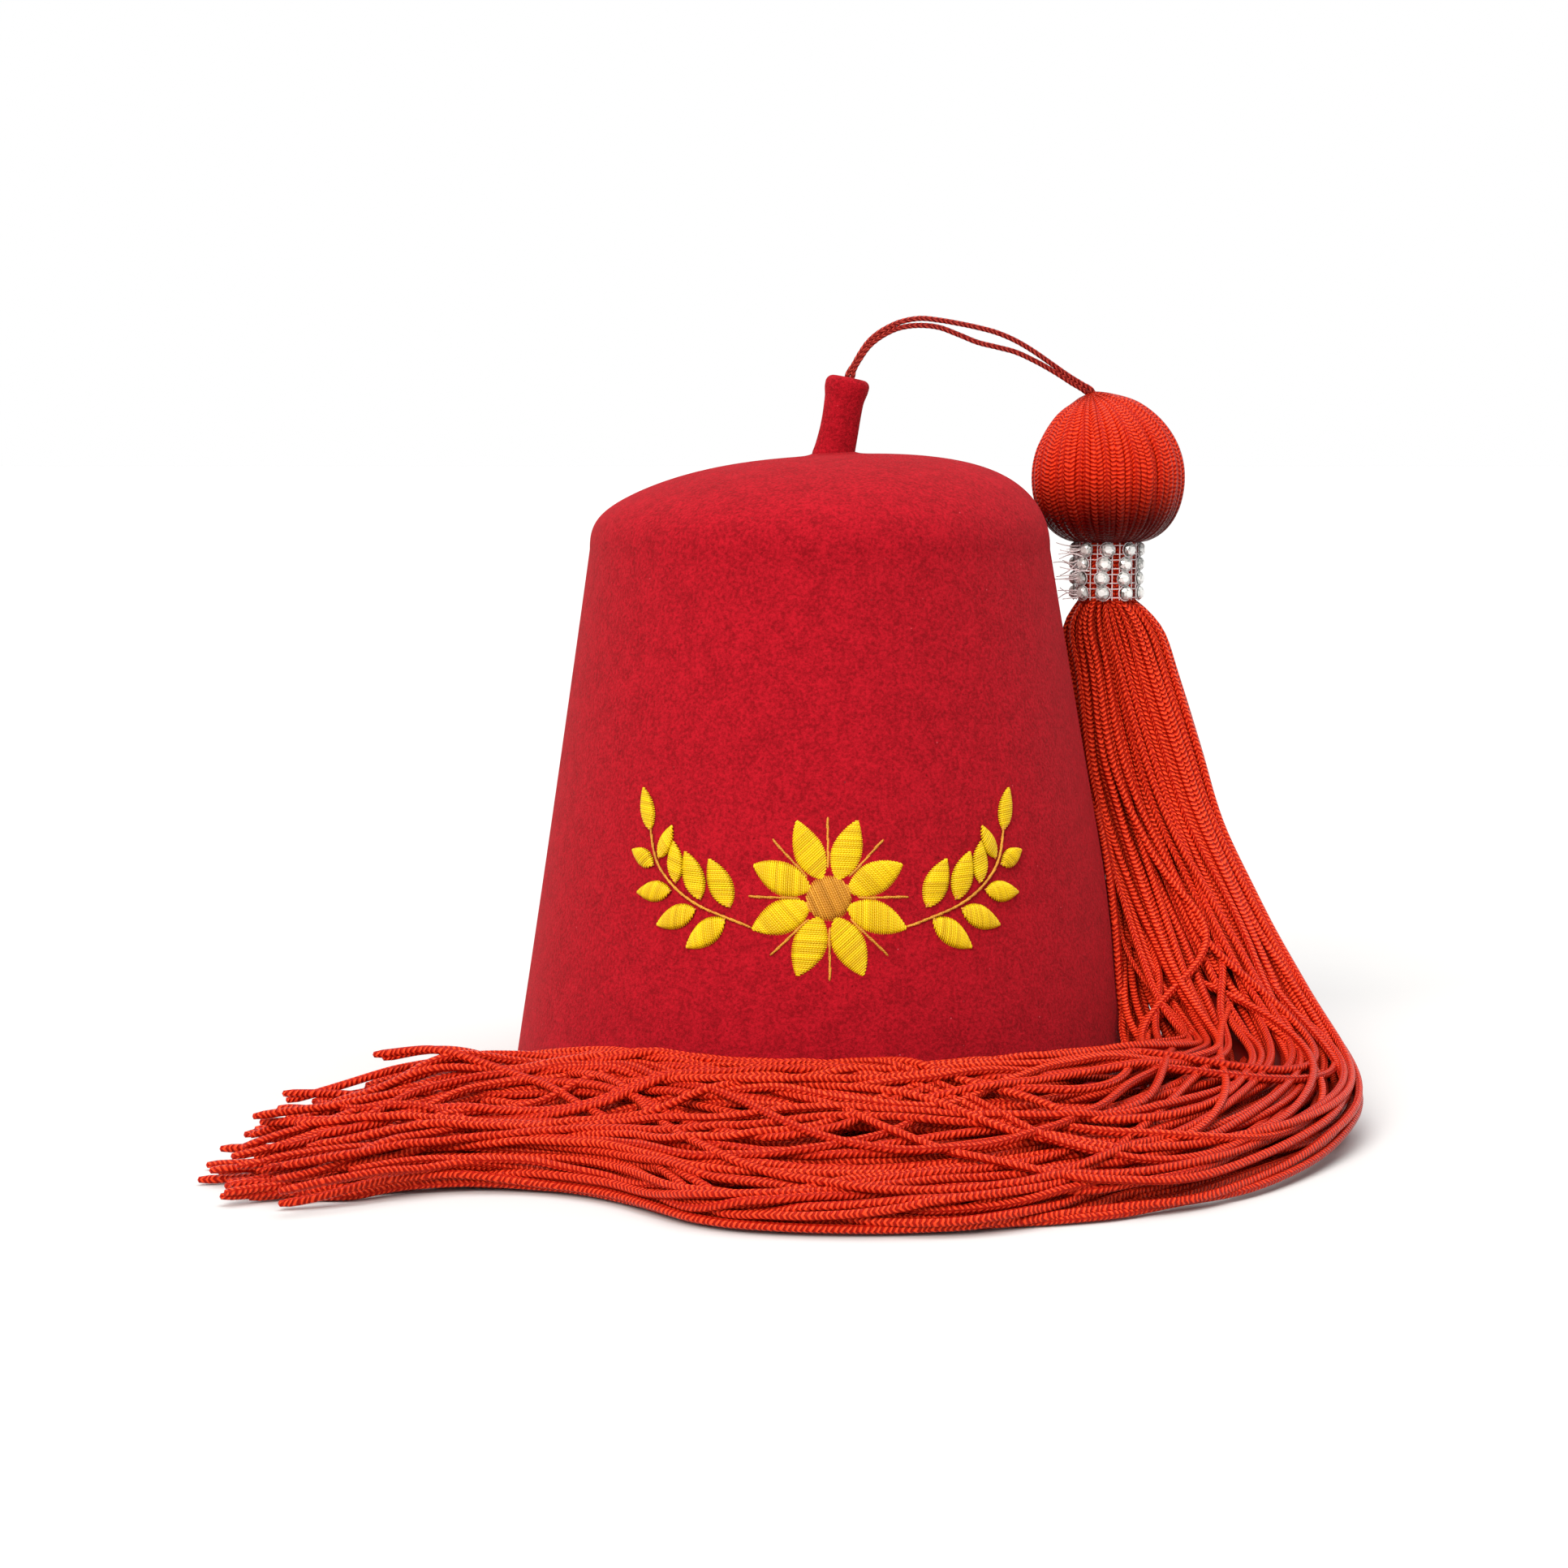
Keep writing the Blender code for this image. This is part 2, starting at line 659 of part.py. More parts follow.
def stone_net(root):
    """The plastic net round the neck, pierced between its columns, with a cut stone in every seat."""
    inner = NECK_DIAMETER / 2 + CLEARANCE
    middle = head_middle()
    bottom = middle.z - HEAD_DROP - CLEARANCE - NET_ROWS * NET_ROW_PITCH
    pitch = 2 * math.pi / NET_COLUMNS
    window = pitch * NET_WINDOW_SHARE
    edge_bar = NET_BAR_HEIGHT / 2
    levels = []
    for row in range(NET_ROWS):
        base = row * NET_ROW_PITCH
        levels += [base, base + edge_bar, base + NET_ROW_PITCH - edge_bar]
    levels.append(NET_ROWS * NET_ROW_PITCH)
    edges = []
    for column in range(NET_COLUMNS):
        start = column * pitch
        edges += [start + window / 2, start + pitch - window / 2]

    vertices, faces = [], []
    grid = {}
    for side, radius in enumerate((inner, inner + NET_THICKNESS)):
        for e, a in enumerate(edges):
            for n, level in enumerate(levels):
                grid[side, e, n] = len(vertices)
                place = Vector((radius * math.cos(a), radius * math.sin(a), bottom + level))
                vertices.append(Vector((middle.x, middle.y, 0.0)) + place)

    count = len(edges)
    top = len(levels) - 1
    for e in range(count):
        f = (e + 1) % count
        seat_strip = e % 2 == 0
        faces.append((grid[0, e, 0], grid[0, f, 0], grid[1, f, 0], grid[1, e, 0]))
        faces.append((grid[0, e, top], grid[0, f, top], grid[1, f, top], grid[1, e, top]))
        for n in range(top):
            open_window = not seat_strip and n % 3 == 1
            here = [(e, n), (f, n), (f, n + 1), (e, n + 1)]
            if open_window:
                for (a, b), (c, d) in zip(here, here[1:] + here[:1]):
                    faces.append((grid[0, a, b], grid[0, c, d], grid[1, c, d], grid[1, a, b]))
                continue
            faces.append(tuple(grid[0, a, b] for a, b in here))
            if not seat_strip:
                faces.append(tuple(grid[1, a, b] for a, b in here))
        if seat_strip:
            for row in range(NET_ROWS):
                low, high = 3 * row, 3 * row + 3
                seat = [grid[1, s, n] for s in (e, f) for n in range(low, high + 1)]
                corners = [vertices[grid[1, s, n]] for s in (e, f) for n in (low, high)]
                centre = sum(corners, Vector()) / 4
                out = Vector((centre.x - middle.x, centre.y - middle.y, 0.0)).normalized()
                way = Vector((0, 0, 1)).cross(out)
                stone(vertices, faces, seat, centre, out, Vector((0, 0, 1)), way)
    return solid("stone_net", vertices, faces, CLEAR_STONES, root)


def centre_over_origin(root, pieces):
    """Move the root so that the box round the pieces stands centred over the origin, on the ground."""
    bpy.context.view_layer.update()
    corners = [p.matrix_world @ Vector(c) for p in pieces for c in p.bound_box]
    low = Vector(min(c[i] for c in corners) for i in range(3))
    high = Vector(max(c[i] for c in corners) for i in range(3))
    root.location = (-(low.x + high.x) / 2, -(low.y + high.y) / 2, -low.z)


def main():
    for old in list(bpy.data.objects):
        bpy.data.objects.remove(old, do_unlink=True)
    root = bpy.data.objects.new("fez", None)
    bpy.context.scene.collection.objects.link(root)
    pieces = [felt_crown(root), felt_stem(root), tassel(root), stone_net(root)]
    strand("hanger_strand_upper", strand_places([a.upper for a in ARCHES], 1), root)
    strand("hanger_strand_lower", strand_places([a.lower for a in ARCHES], -1), root)
    centre_over_origin(root, pieces)


main()
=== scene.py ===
"""A blocked red felt fez with an embroidered front, a felt stem and a long silky tassel.

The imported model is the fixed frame. Each sub-assembly below repeats the named sizes of the part's
source, builds its finer meshes where the solids stand, and dresses them in procedural materials.
Lengths are in metres. Shapes are worked out round the hat's own axis, which stands over HAT_AXIS:
X runs to the right as the front is seen, and -Y runs out of the front.
"""

import logging
import math
from dataclasses import dataclass, field
from enum import Enum
from typing import Any, NamedTuple

import bpy
import numpy as np
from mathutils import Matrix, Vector


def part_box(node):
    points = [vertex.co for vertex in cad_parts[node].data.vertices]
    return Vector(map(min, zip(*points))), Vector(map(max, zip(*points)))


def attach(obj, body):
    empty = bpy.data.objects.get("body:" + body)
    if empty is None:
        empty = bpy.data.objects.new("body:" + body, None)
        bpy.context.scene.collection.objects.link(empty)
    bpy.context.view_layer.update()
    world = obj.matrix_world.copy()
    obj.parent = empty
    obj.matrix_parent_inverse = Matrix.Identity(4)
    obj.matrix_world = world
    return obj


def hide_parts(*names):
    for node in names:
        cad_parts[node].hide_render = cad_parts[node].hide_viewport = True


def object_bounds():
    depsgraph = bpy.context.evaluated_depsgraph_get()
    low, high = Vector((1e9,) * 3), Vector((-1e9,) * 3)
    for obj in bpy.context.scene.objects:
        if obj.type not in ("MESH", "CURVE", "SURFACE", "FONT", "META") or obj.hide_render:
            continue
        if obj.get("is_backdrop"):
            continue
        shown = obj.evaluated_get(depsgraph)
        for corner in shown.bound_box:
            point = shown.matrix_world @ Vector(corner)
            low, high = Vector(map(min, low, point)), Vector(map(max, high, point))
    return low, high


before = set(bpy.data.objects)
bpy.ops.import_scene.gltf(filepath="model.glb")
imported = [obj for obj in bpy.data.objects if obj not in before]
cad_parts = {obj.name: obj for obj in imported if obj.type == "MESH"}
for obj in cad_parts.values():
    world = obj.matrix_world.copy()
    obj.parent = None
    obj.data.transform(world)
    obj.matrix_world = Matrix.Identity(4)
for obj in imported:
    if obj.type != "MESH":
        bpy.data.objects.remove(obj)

Array = np.ndarray
Values = Array | float
Colour = tuple[float, float, float, float]

logging.basicConfig(level=logging.INFO, format="%(name)s: %(message)s")
log = logging.getLogger("fez")

MM = 0.001
# The share of a turn from where one tube's pattern starts to where the next one's does, and the
# distance along the tube that a whole turn moves it
PATTERN_TURN = 0.618
PATTERN_SHIFT = 10 * MM
CAD_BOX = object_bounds()
CROWN_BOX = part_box("crown")
HAT_AXIS = np.array([(CROWN_BOX[0][i] + CROWN_BOX[1][i]) / 2 for i in (0, 1)] + [0.0])


class Slot(Enum):
    """Names of the material slots."""

    FELT = "felt"
    CORD = "cord"
    BRAID = "braid"
    STONES = "stones"


def linear(hex_colour: str) -> Colour:
    """Turn an sRGB hex colour into linear light.

    Args:
        hex_colour: A colour such as "#be1626".

    Returns:
        Red, green, blue and an alpha of one, in linear light.
    """
    channels = [int(hex_colour[i : i + 2], 16) / 255 for i in (1, 3, 5)]
    light = [c / 12.92 if c <= 0.04045 else ((c + 0.055) / 1.055) ** 2.4 for c in channels]
    return (light[0], light[1], light[2], 1.0)


def add_node(
    tree: bpy.types.NodeTree, kind: str, inputs: dict[Any, Any] | None = None, **settings: Any
) -> bpy.types.Node:
    """Add one shader node with its settings, constants and links.

    Args:
        tree: The node tree that it goes into.
        kind: The node's type name.
        inputs: Socket names or numbers, each with a constant or the output socket that feeds it.
        settings: The node's own properties.

    Returns:
        The new node.
    """
    node = tree.nodes.new(kind)
    for name, value in settings.items():
        setattr(node, name, value)
    for key, value in (inputs or {}).items():
        socket = node.inputs[key]
        if isinstance(value, bpy.types.NodeSocket):
            tree.links.new(value, socket)
        else:
            socket.default_value = value
    return node


def start_material(name: str, constants: dict[str, Any]) -> tuple[bpy.types.Material, Any, Any]:
    """Start a material on its Principled shader.

    Args:
        name: The material's name.
        constants: The shader's socket names with their constant values.

    Returns:
        The material, its node tree and its shader node.
    """
    material = bpy.data.materials.new(name)
    material.use_nodes = True
    tree = material.node_tree
    shader = tree.nodes["Principled BSDF"]
    for socket, value in constants.items():
        shader.inputs[socket].default_value = value
    return material, tree, shader


def dress(
    tree: bpy.types.NodeTree,
    shader: bpy.types.Node,
    colour: bpy.types.NodeSocket,
    height: bpy.types.NodeSocket,
    depth: float,
    strength: float = 1.0,
) -> None:
    """Give a shader its colour and its small relief.

    Args:
        tree: The material's node tree.
        shader: Its Principled shader.
        colour: The output that gives the colour.
        height: The output that gives the relief's height.
        depth: How deep the relief is for a height of one.
        strength: How strongly it shows.
    """
    bump = add_node(
        tree, "ShaderNodeBump", {"Height": height, "Strength": strength, "Distance": depth}
    )
    tree.links.new(colour, shader.inputs["Base Color"])
    tree.links.new(bump.outputs["Normal"], shader.inputs["Normal"])


@dataclass(frozen=True)
class WoolFelt:
    """Wool felt, pressed wet over a block and dried.

    The pressed fibres give the eye a matt, slightly mottled surface with a pale bloom where it
    turns away.
    """

    name: str = "blocked wool felt"
    deep: str = "#800813"
    light: str = "#ad1120"
    pale_fibre: str = "#c8545c"
    dark_fibre: str = "#5e030c"
    bloom: str = "#ff7a78"
    mottle_size: float = 5.0 * MM
    # Wool fibres are about 0.03 mm thick: drawn as tufts of 0.85 mm, or they would not show
    fibre_size: float = 0.85 * MM
    fibre_share: float = 0.78
    speck_spacing: float = 3.2 * MM
    nap: float = 0.40 * MM

    def make(self) -> bpy.types.Material:
        """Make the felt's material."""
        material, tree, shader = start_material(
            self.name,
            {
                "Roughness": 0.93,
                "IOR": 1.45,
                "Specular IOR Level": 0.10,
                "Sheen Weight": 0.10,
                "Sheen Roughness": 0.45,
                "Sheen Tint": linear(self.bloom),
            },
        )
        place = add_node(tree, "ShaderNodeTexCoord").outputs["Object"]
        mottle, fibre = (
            add_node(
                tree,
                "ShaderNodeTexNoise",
                {"Vector": place, "Scale": 1 / size, "Detail": detail, "Roughness": rough},
            ).outputs["Fac"]
            for size, detail, rough in ((self.mottle_size, 3.0, 0.6), (self.fibre_size, 4.0, 0.72))
        )
        blotch = add_node(
            tree, "ShaderNodeMix", {0: self.fibre_share, 2: mottle, 3: fibre}, data_type="FLOAT"
        ).outputs[0]
        share = add_node(
            tree, "ShaderNodeMapRange", {"Value": blotch, "From Min": 0.40, "From Max": 0.60}
        ).outputs["Result"]
        colour = add_node(
            tree,
            "ShaderNodeMix",
            {0: share, 6: linear(self.deep), 7: linear(self.light)},
            data_type="RGBA",
        ).outputs[2]
        # A few cells of a fine mesh hold a pale or a dark fibre
        cells = add_node(
            tree,
            "ShaderNodeTexVoronoi",
            {"Vector": place, "Scale": 1 / self.speck_spacing, "Randomness": 1.0},
        ).outputs
        pick = add_node(tree, "ShaderNodeSeparateColor", {0: cells["Color"]}).outputs
        for channel, threshold, reach, tint in (
            ("Red", 0.86, 0.075, self.pale_fibre),
            ("Green", 0.62, 0.105, self.dark_fibre),
        ):
            chosen = add_node(
                tree, "ShaderNodeMath", {0: pick[channel], 1: threshold}, operation="GREATER_THAN"
            ).outputs[0]
            edges = {"From Min": reach * 0.4, "From Max": reach, "To Min": 0.8, "To Max": 0.0}
            spot = add_node(tree, "ShaderNodeMapRange", {"Value": cells["Distance"], **edges})
            speck = add_node(
                tree, "ShaderNodeMath", {0: chosen, 1: spot.outputs["Result"]}, operation="MULTIPLY"
            ).outputs[0]
            colour = add_node(
                tree, "ShaderNodeMix", {0: speck, 6: colour, 7: linear(tint)}, data_type="RGBA"
            ).outputs[2]
        dress(tree, shader, colour, fibre, self.nap)
        return material


@dataclass(frozen=True)
class KnittedRayon:
    """Rayon cord, knitted or braided by machine from shiny continuous yarn.

    Each slanting stitch catches the light on its crest and is dark at its foot, so the eye sees
    rows of small bright arrowheads along every cord. Both are painted: the crest colour is a
    painted highlight, and the valley colour is painted shade at the feet and between the wales.
    """

    name: str
    # Painted light: crest is a painted highlight colour and valley a painted shade colour
    crest: str
    valley: str
    shade: str
    gloss: str = "#ffac90"
    # A real stitch is about 1.1 mm long: drawn longer, so that each still shows in the render
    stitch: float = 1.3 * MM
    wales: int = 2
    slant: float = 0.66
    relief: float = 0.36 * MM
    roughness: float = 0.34
    gleam: float = 0.17
    # How far the rows drift along the cord, as a share of a stitch, and over what distance
    drift: float = 1.1
    drift_size: float = 2.6 * MM

    def make(self) -> bpy.types.Material:
        """Make the cord's material, which reads the tubes' own UV map and tone values."""
        material, tree, shader = start_material(
            self.name,
            {
                "Roughness": self.roughness,
                "IOR": 1.53,
                "Specular IOR Level": self.gleam,
                "Specular Tint": linear(self.gloss),
            },
        )
        uv = add_node(tree, "ShaderNodeUVMap", uv_map="cord").outputs["UV"]
        axes = add_node(tree, "ShaderNodeSeparateXYZ", {0: uv}).outputs
        # How far a place is off the middle of its wale, as a share of the wale's width
        off = axes["X"]
        for operation, number in (
            ("MULTIPLY", float(self.wales)),
            ("FRACT", 0.0),
            ("SUBTRACT", 0.5),
            ("ABSOLUTE", 0.0),
        ):
            off = add_node(
                tree, "ShaderNodeMath", {0: off, 1: number}, operation=operation
            ).outputs[0]
        place = add_node(tree, "ShaderNodeTexCoord").outputs["Object"]
        uneven = add_node(
            tree,
            "ShaderNodeTexNoise",
            {"Vector": place, "Scale": 1 / self.drift_size, "Detail": 1.0},
        ).outputs["Fac"]
        # How many stitches along a place is, in rows that drift and slant
        rows: Any = 0.0
        for lead, factor in (
            (uneven, self.drift),
            (axes["Y"], 1 / self.stitch),
            (off, self.slant * 2),
        ):
            rows = add_node(
                tree, "ShaderNodeMath", {0: lead, 1: factor, 2: rows}, operation="MULTIPLY_ADD"
            ).outputs[0]
        angle = add_node(
            tree, "ShaderNodeMath", {0: rows, 1: 2 * math.pi}, operation="MULTIPLY"
        ).outputs[0]
        wave = add_node(tree, "ShaderNodeMath", {0: angle}, operation="SINE").outputs[0]
        crest, groove = (
            add_node(
                tree,
                "ShaderNodeMapRange",
                {"Value": value, "From Min": low, "From Max": high, "To Min": start, "To Max": end},
                interpolation_type="SMOOTHSTEP",
            ).outputs["Result"]
            for value, low, high, start, end in (
                (wave, -1.0, 0.75, 0.0, 1.0),
                (off, 0.36, 0.50, 1.0, 0.25),
            )
        )
        height = add_node(
            tree, "ShaderNodeMath", {0: crest, 1: groove}, operation="MULTIPLY"
        ).outputs[0]
        # The colour is painted light: highlight on the stitches' crests, shade at their feet and in
        # the grooves
        colour = add_node(
            tree,
            "ShaderNodeMix",
            {0: height, 6: linear(self.valley), 7: linear(self.crest)},
            data_type="RGBA",
        ).outputs[2]
        # The tone values mix in the shade colour: at random from cord to cord, and as painted shade
        # where a piece sets them for it
        tone = add_node(
            tree, "ShaderNodeAttribute", attribute_name="tone", attribute_type="GEOMETRY"
        ).outputs["Fac"]
        toned_and_shaded = add_node(
            tree, "ShaderNodeMix", {0: tone, 6: colour, 7: linear(self.shade)}, data_type="RGBA"
        ).outputs[2]
        dress(tree, shader, toned_and_shaded, height, self.relief)
        return material


# What the eye meets between the outer cords: more cords, in deep shade. This dark form stands in
# for them, its colours painted shade
SHADED_UNDERLAY = KnittedRayon(
    name="knitted rayon underlay in painted shade",
    crest="#6e0b08",
    valley="#430404",
    shade="#3a0303",
    stitch=1.5 * MM,
    relief=0.1 * MM,
    roughness=0.6,
    gleam=0.1,
)


@dataclass(frozen=True)
class EmbroideryFloss:
    """Twisted rayon embroidery floss, laid by hand.

    Its filaments lie along the stitch, so each one shows the eye a bright streak and a darker edge.
    """

    name: str
    lit: str
    shaded: str
    twist: float = 1.3 * MM
    relief: float = 0.07 * MM

    def make(self) -> bpy.types.Material:
        """Make the floss's material, which reads the stitches' own UV map and tone values."""
        material, tree, shader = start_material(
            self.name, {"Roughness": 0.40, "IOR": 1.53, "Specular IOR Level": 0.25}
        )
        uv = add_node(tree, "ShaderNodeUVMap", uv_map="cord").outputs["UV"]
        axes = add_node(tree, "ShaderNodeSeparateXYZ", {0: uv}).outputs
        turn = add_node(
            tree,
            "ShaderNodeMath",
            {0: axes["Y"], 1: 1 / self.twist, 2: axes["X"]},
            operation="MULTIPLY_ADD",
        ).outputs[0]
        angle = add_node(
            tree, "ShaderNodeMath", {0: turn, 1: 4 * math.pi}, operation="MULTIPLY"
        ).outputs[0]
        wave = add_node(tree, "ShaderNodeMath", {0: angle}, operation="SINE").outputs[0]
        tone = add_node(
            tree, "ShaderNodeAttribute", attribute_name="tone", attribute_type="GEOMETRY"
        ).outputs["Fac"]
        colour = add_node(
            tree,
            "ShaderNodeMix",
            {0: tone, 6: linear(self.lit), 7: linear(self.shaded)},
            data_type="RGBA",
        ).outputs[2]
        dress(tree, shader, colour, wave, self.relief, strength=0.6)
        return material


@dataclass(frozen=True)
class FoilBackedStone:
    """Cut glass with a silvered back, pressed and polished.

    Each facet sends back another part of the foil, so the eye sees white, grey and nearly black
    side by side. Here each facet's colour paints that reflection.
    """

    name: str = "foil backed cut glass"
    # Painted reflection colours of the foil, bright and dark
    bright: str = "#f4f5f2"
    dark: str = "#30352e"

    def make(self) -> bpy.types.Material:
        """Make the stones' material, which reads a tone for each facet, a painted reflection."""
        material, tree, shader = start_material(
            self.name,
            {
                "Metallic": 0.15,
                "Roughness": 0.12,
                "IOR": 1.56,
                "Coat Weight": 1.0,
                "Coat Roughness": 0.03,
                "Coat IOR": 1.56,
            },
        )
        tone = add_node(
            tree, "ShaderNodeAttribute", attribute_name="tone", attribute_type="GEOMETRY"
        )
        colour = add_node(
            tree,
            "ShaderNodeMix",
            {0: tone.outputs["Fac"], 6: linear(self.bright), 7: linear(self.dark)},
            data_type="RGBA",
        )
        tree.links.new(colour.outputs[2], shader.inputs["Base Color"])
        return material


@dataclass(frozen=True)
class ClearPlastic:
    """Clear soft PVC, moulded.

    The eye sees it cloudy where it is thick, and it takes the red behind it.
    """

    name: str = "clear moulded PVC"
    tint: str = "#fbf3f4"
    clarity: float = 0.50
    haze: float = 0.5 * MM

    def make(self) -> bpy.types.Material:
        """Make the net's material."""
        material, tree, shader = start_material(
            self.name,
            {
                "IOR": 1.52,
                "Transmission Weight": self.clarity,
                "Base Color": linear(self.tint),
            },
        )
        place = add_node(tree, "ShaderNodeTexCoord").outputs["Object"]
        cloud = add_node(
            tree, "ShaderNodeTexNoise", {"Vector": place, "Scale": 1 / self.haze, "Detail": 2.0}
        )
        rough = add_node(
            tree,
            "ShaderNodeMapRange",
            {"Value": cloud.outputs["Fac"], "To Min": 0.12, "To Max": 0.42},
        )
        tree.links.new(rough.outputs["Result"], shader.inputs["Roughness"])
        return material


@dataclass(frozen=True)
class MattPaper:
    """Seamless background paper, matt and pale.

    Full light turns it white to the eye, with the faintest cloudiness.
    """

    name: str = "matt background paper"
    light: str = "#cbcbcb"
    grey: str = "#c8c8c8"
    cloud: float = 60 * MM

    def make(self) -> bpy.types.Material:
        """Make the floor's material."""
        material, tree, shader = start_material(
            self.name, {"Roughness": 0.95, "Specular IOR Level": 0.1}
        )
        place = add_node(tree, "ShaderNodeTexCoord").outputs["Object"]
        noise = add_node(
            tree, "ShaderNodeTexNoise", {"Vector": place, "Scale": 1 / self.cloud, "Detail": 2.0}
        )
        colour = add_node(
            tree,
            "ShaderNodeMix",
            {0: noise.outputs["Fac"], 6: linear(self.light), 7: linear(self.grey)},
            data_type="RGBA",
        )
        tree.links.new(colour.outputs[2], shader.inputs["Base Color"])
        return material


@dataclass
class Part:
    """Faces and their painted values, round the hat's axis, before they become a mesh."""

    vertices: Array
    quads: Array
    triangles: Array
    quad_uv: Array
    triangle_uv: Array
    tone: Array

    @classmethod
    def plain(cls, vertices: Array, quads: Array, triangles: Array, tone: Array) -> "Part":
        """Make a part whose finish reads no UV map.

        Args:
            vertices: Its corners.
            quads: Its faces of four corners.
            triangles: Its faces of three corners.
            tone: The tone at each corner.

        Returns:
            The part.
        """
        uv = (np.zeros((*faces.shape, 2)) for faces in (quads, triangles))
        return cls(vertices, quads, triangles, *uv, tone)

    def outward(self) -> "Part":
        """Turn every face over if the closed form's faces look inwards, and return the part."""
        a, b, c, d = (self.vertices[self.quads[:, i]] for i in range(4))
        e, f, g = (self.vertices[self.triangles[:, i]] for i in range(3))
        volume = (
            np.einsum("ij,ij->i", a, np.cross(b, c)).sum()
            + np.einsum("ij,ij->i", a, np.cross(c, d)).sum()
            + np.einsum("ij,ij->i", e, np.cross(f, g)).sum()
        )
        if volume < 0:
            self.quads = self.quads[:, ::-1]
            self.quad_uv = self.quad_uv[:, ::-1]
            self.triangles = self.triangles[:, ::-1]
            self.triangle_uv = self.triangle_uv[:, ::-1]
        return self


def joined(parts: list[Part]) -> Part:
    """Join parts into one.

    Args:
        parts: The parts, in order.

    Returns:
        One part with the faces of all of them.
    """
    firsts = np.cumsum([0] + [len(p.vertices) for p in parts[:-1]])
    return Part(
        np.concatenate([p.vertices for p in parts]),
        np.concatenate([p.quads + n for p, n in zip(parts, firsts)]),
        np.concatenate([p.triangles + n for p, n in zip(parts, firsts)]),
        np.concatenate([p.quad_uv for p in parts]),
        np.concatenate([p.triangle_uv for p in parts]),
        np.concatenate([p.tone for p in parts]),
    )


def unit(vectors: Array) -> Array:
    """Scale vectors to a length of one."""
    return vectors / np.maximum(np.linalg.norm(vectors, axis=-1, keepdims=True), 1e-12)


def smooth(share: Array) -> Array:
    """Ease a share from 0 to 1, level at both ends."""
    clipped = np.clip(share, 0.0, 1.0)
    return clipped * clipped * (3 - 2 * clipped)


def through(values: Array, places: Array) -> Array:
    """Read a smooth curve through values.

    Args:
        values: One row for each value that the curve passes through.
        places: Where to read it, counted in values from the first.

    Returns:
        One row for each place.
    """
    last = len(values) - 1
    i = np.clip(places.astype(int), 0, last - 1)
    t = (places - i).reshape((-1,) + (1,) * (values.ndim - 1))
    before, start = values[np.maximum(i - 1, 0)], values[i]
    end, after = values[i + 1], values[np.minimum(i + 2, last)]
    shape = t.shape
    leaving = (end - before) * np.where(i > 0, 0.5, 1.0).reshape(shape)
    coming = (after - start) * np.where(i + 2 <= last, 0.5, 1.0).reshape(shape)
    return (
        start * (2 * t**3 - 3 * t**2 + 1)
        + leaving * (t**3 - 2 * t**2 + t)
        + end * (3 * t**2 - 2 * t**3)
        + coming * (t**3 - t**2)
    )


def spread(x: Values, y: Values, z: Values) -> Array:
    """Points from coordinates, which are first brought to one shape."""
    return np.stack(np.broadcast_arrays(x, y, z), axis=-1)


def once_round(count: int) -> Array:
    """Even steps of angle, once round."""
    return 2 * np.pi * np.arange(count) / count


def toward(degrees: float) -> Array:
    """The way that a heading points in its plane."""
    way = math.radians(degrees)
    return np.array([math.cos(way), math.sin(way)])


def lengths_along(paths: Array) -> Array:
    """The length run from each path's start to each of its points."""
    steps = np.linalg.norm(np.diff(paths, axis=-2), axis=-1)
    return np.concatenate([np.zeros(steps.shape[:-1] + (1,)), np.cumsum(steps, axis=-1)], axis=-1)


def ringed_faces(count: int, rings: int, sides: int) -> tuple[Array, Array]:
    """The faces of closed forms made of rings, with a pole at each end.

    Corners are numbered by form, ring and side, and after them come both poles of each form.

    Args:
        count: How many forms.
        rings: How many rings each form has.
        sides: How many corners each ring has.

    Returns:
        The faces of four corners between the rings, and those of three at the poles.
    """
    number = np.arange(count * rings * sides).reshape(count, rings, sides)
    following = np.roll(number, -1, axis=2)
    quads = np.stack(
        [number[:, :-1], following[:, :-1], following[:, 1:], number[:, 1:]], axis=-1
    )
    pole = np.broadcast_to(number.size + 2 * np.arange(count)[:, None], (count, sides))
    start = np.stack([pole, following[:, 0], number[:, 0]], axis=-1)
    end = np.stack([pole + 1, number[:, -1], following[:, -1]], axis=-1)
    return quads.reshape(-1, 4), np.concatenate([start.reshape(-1, 3), end.reshape(-1, 3)])


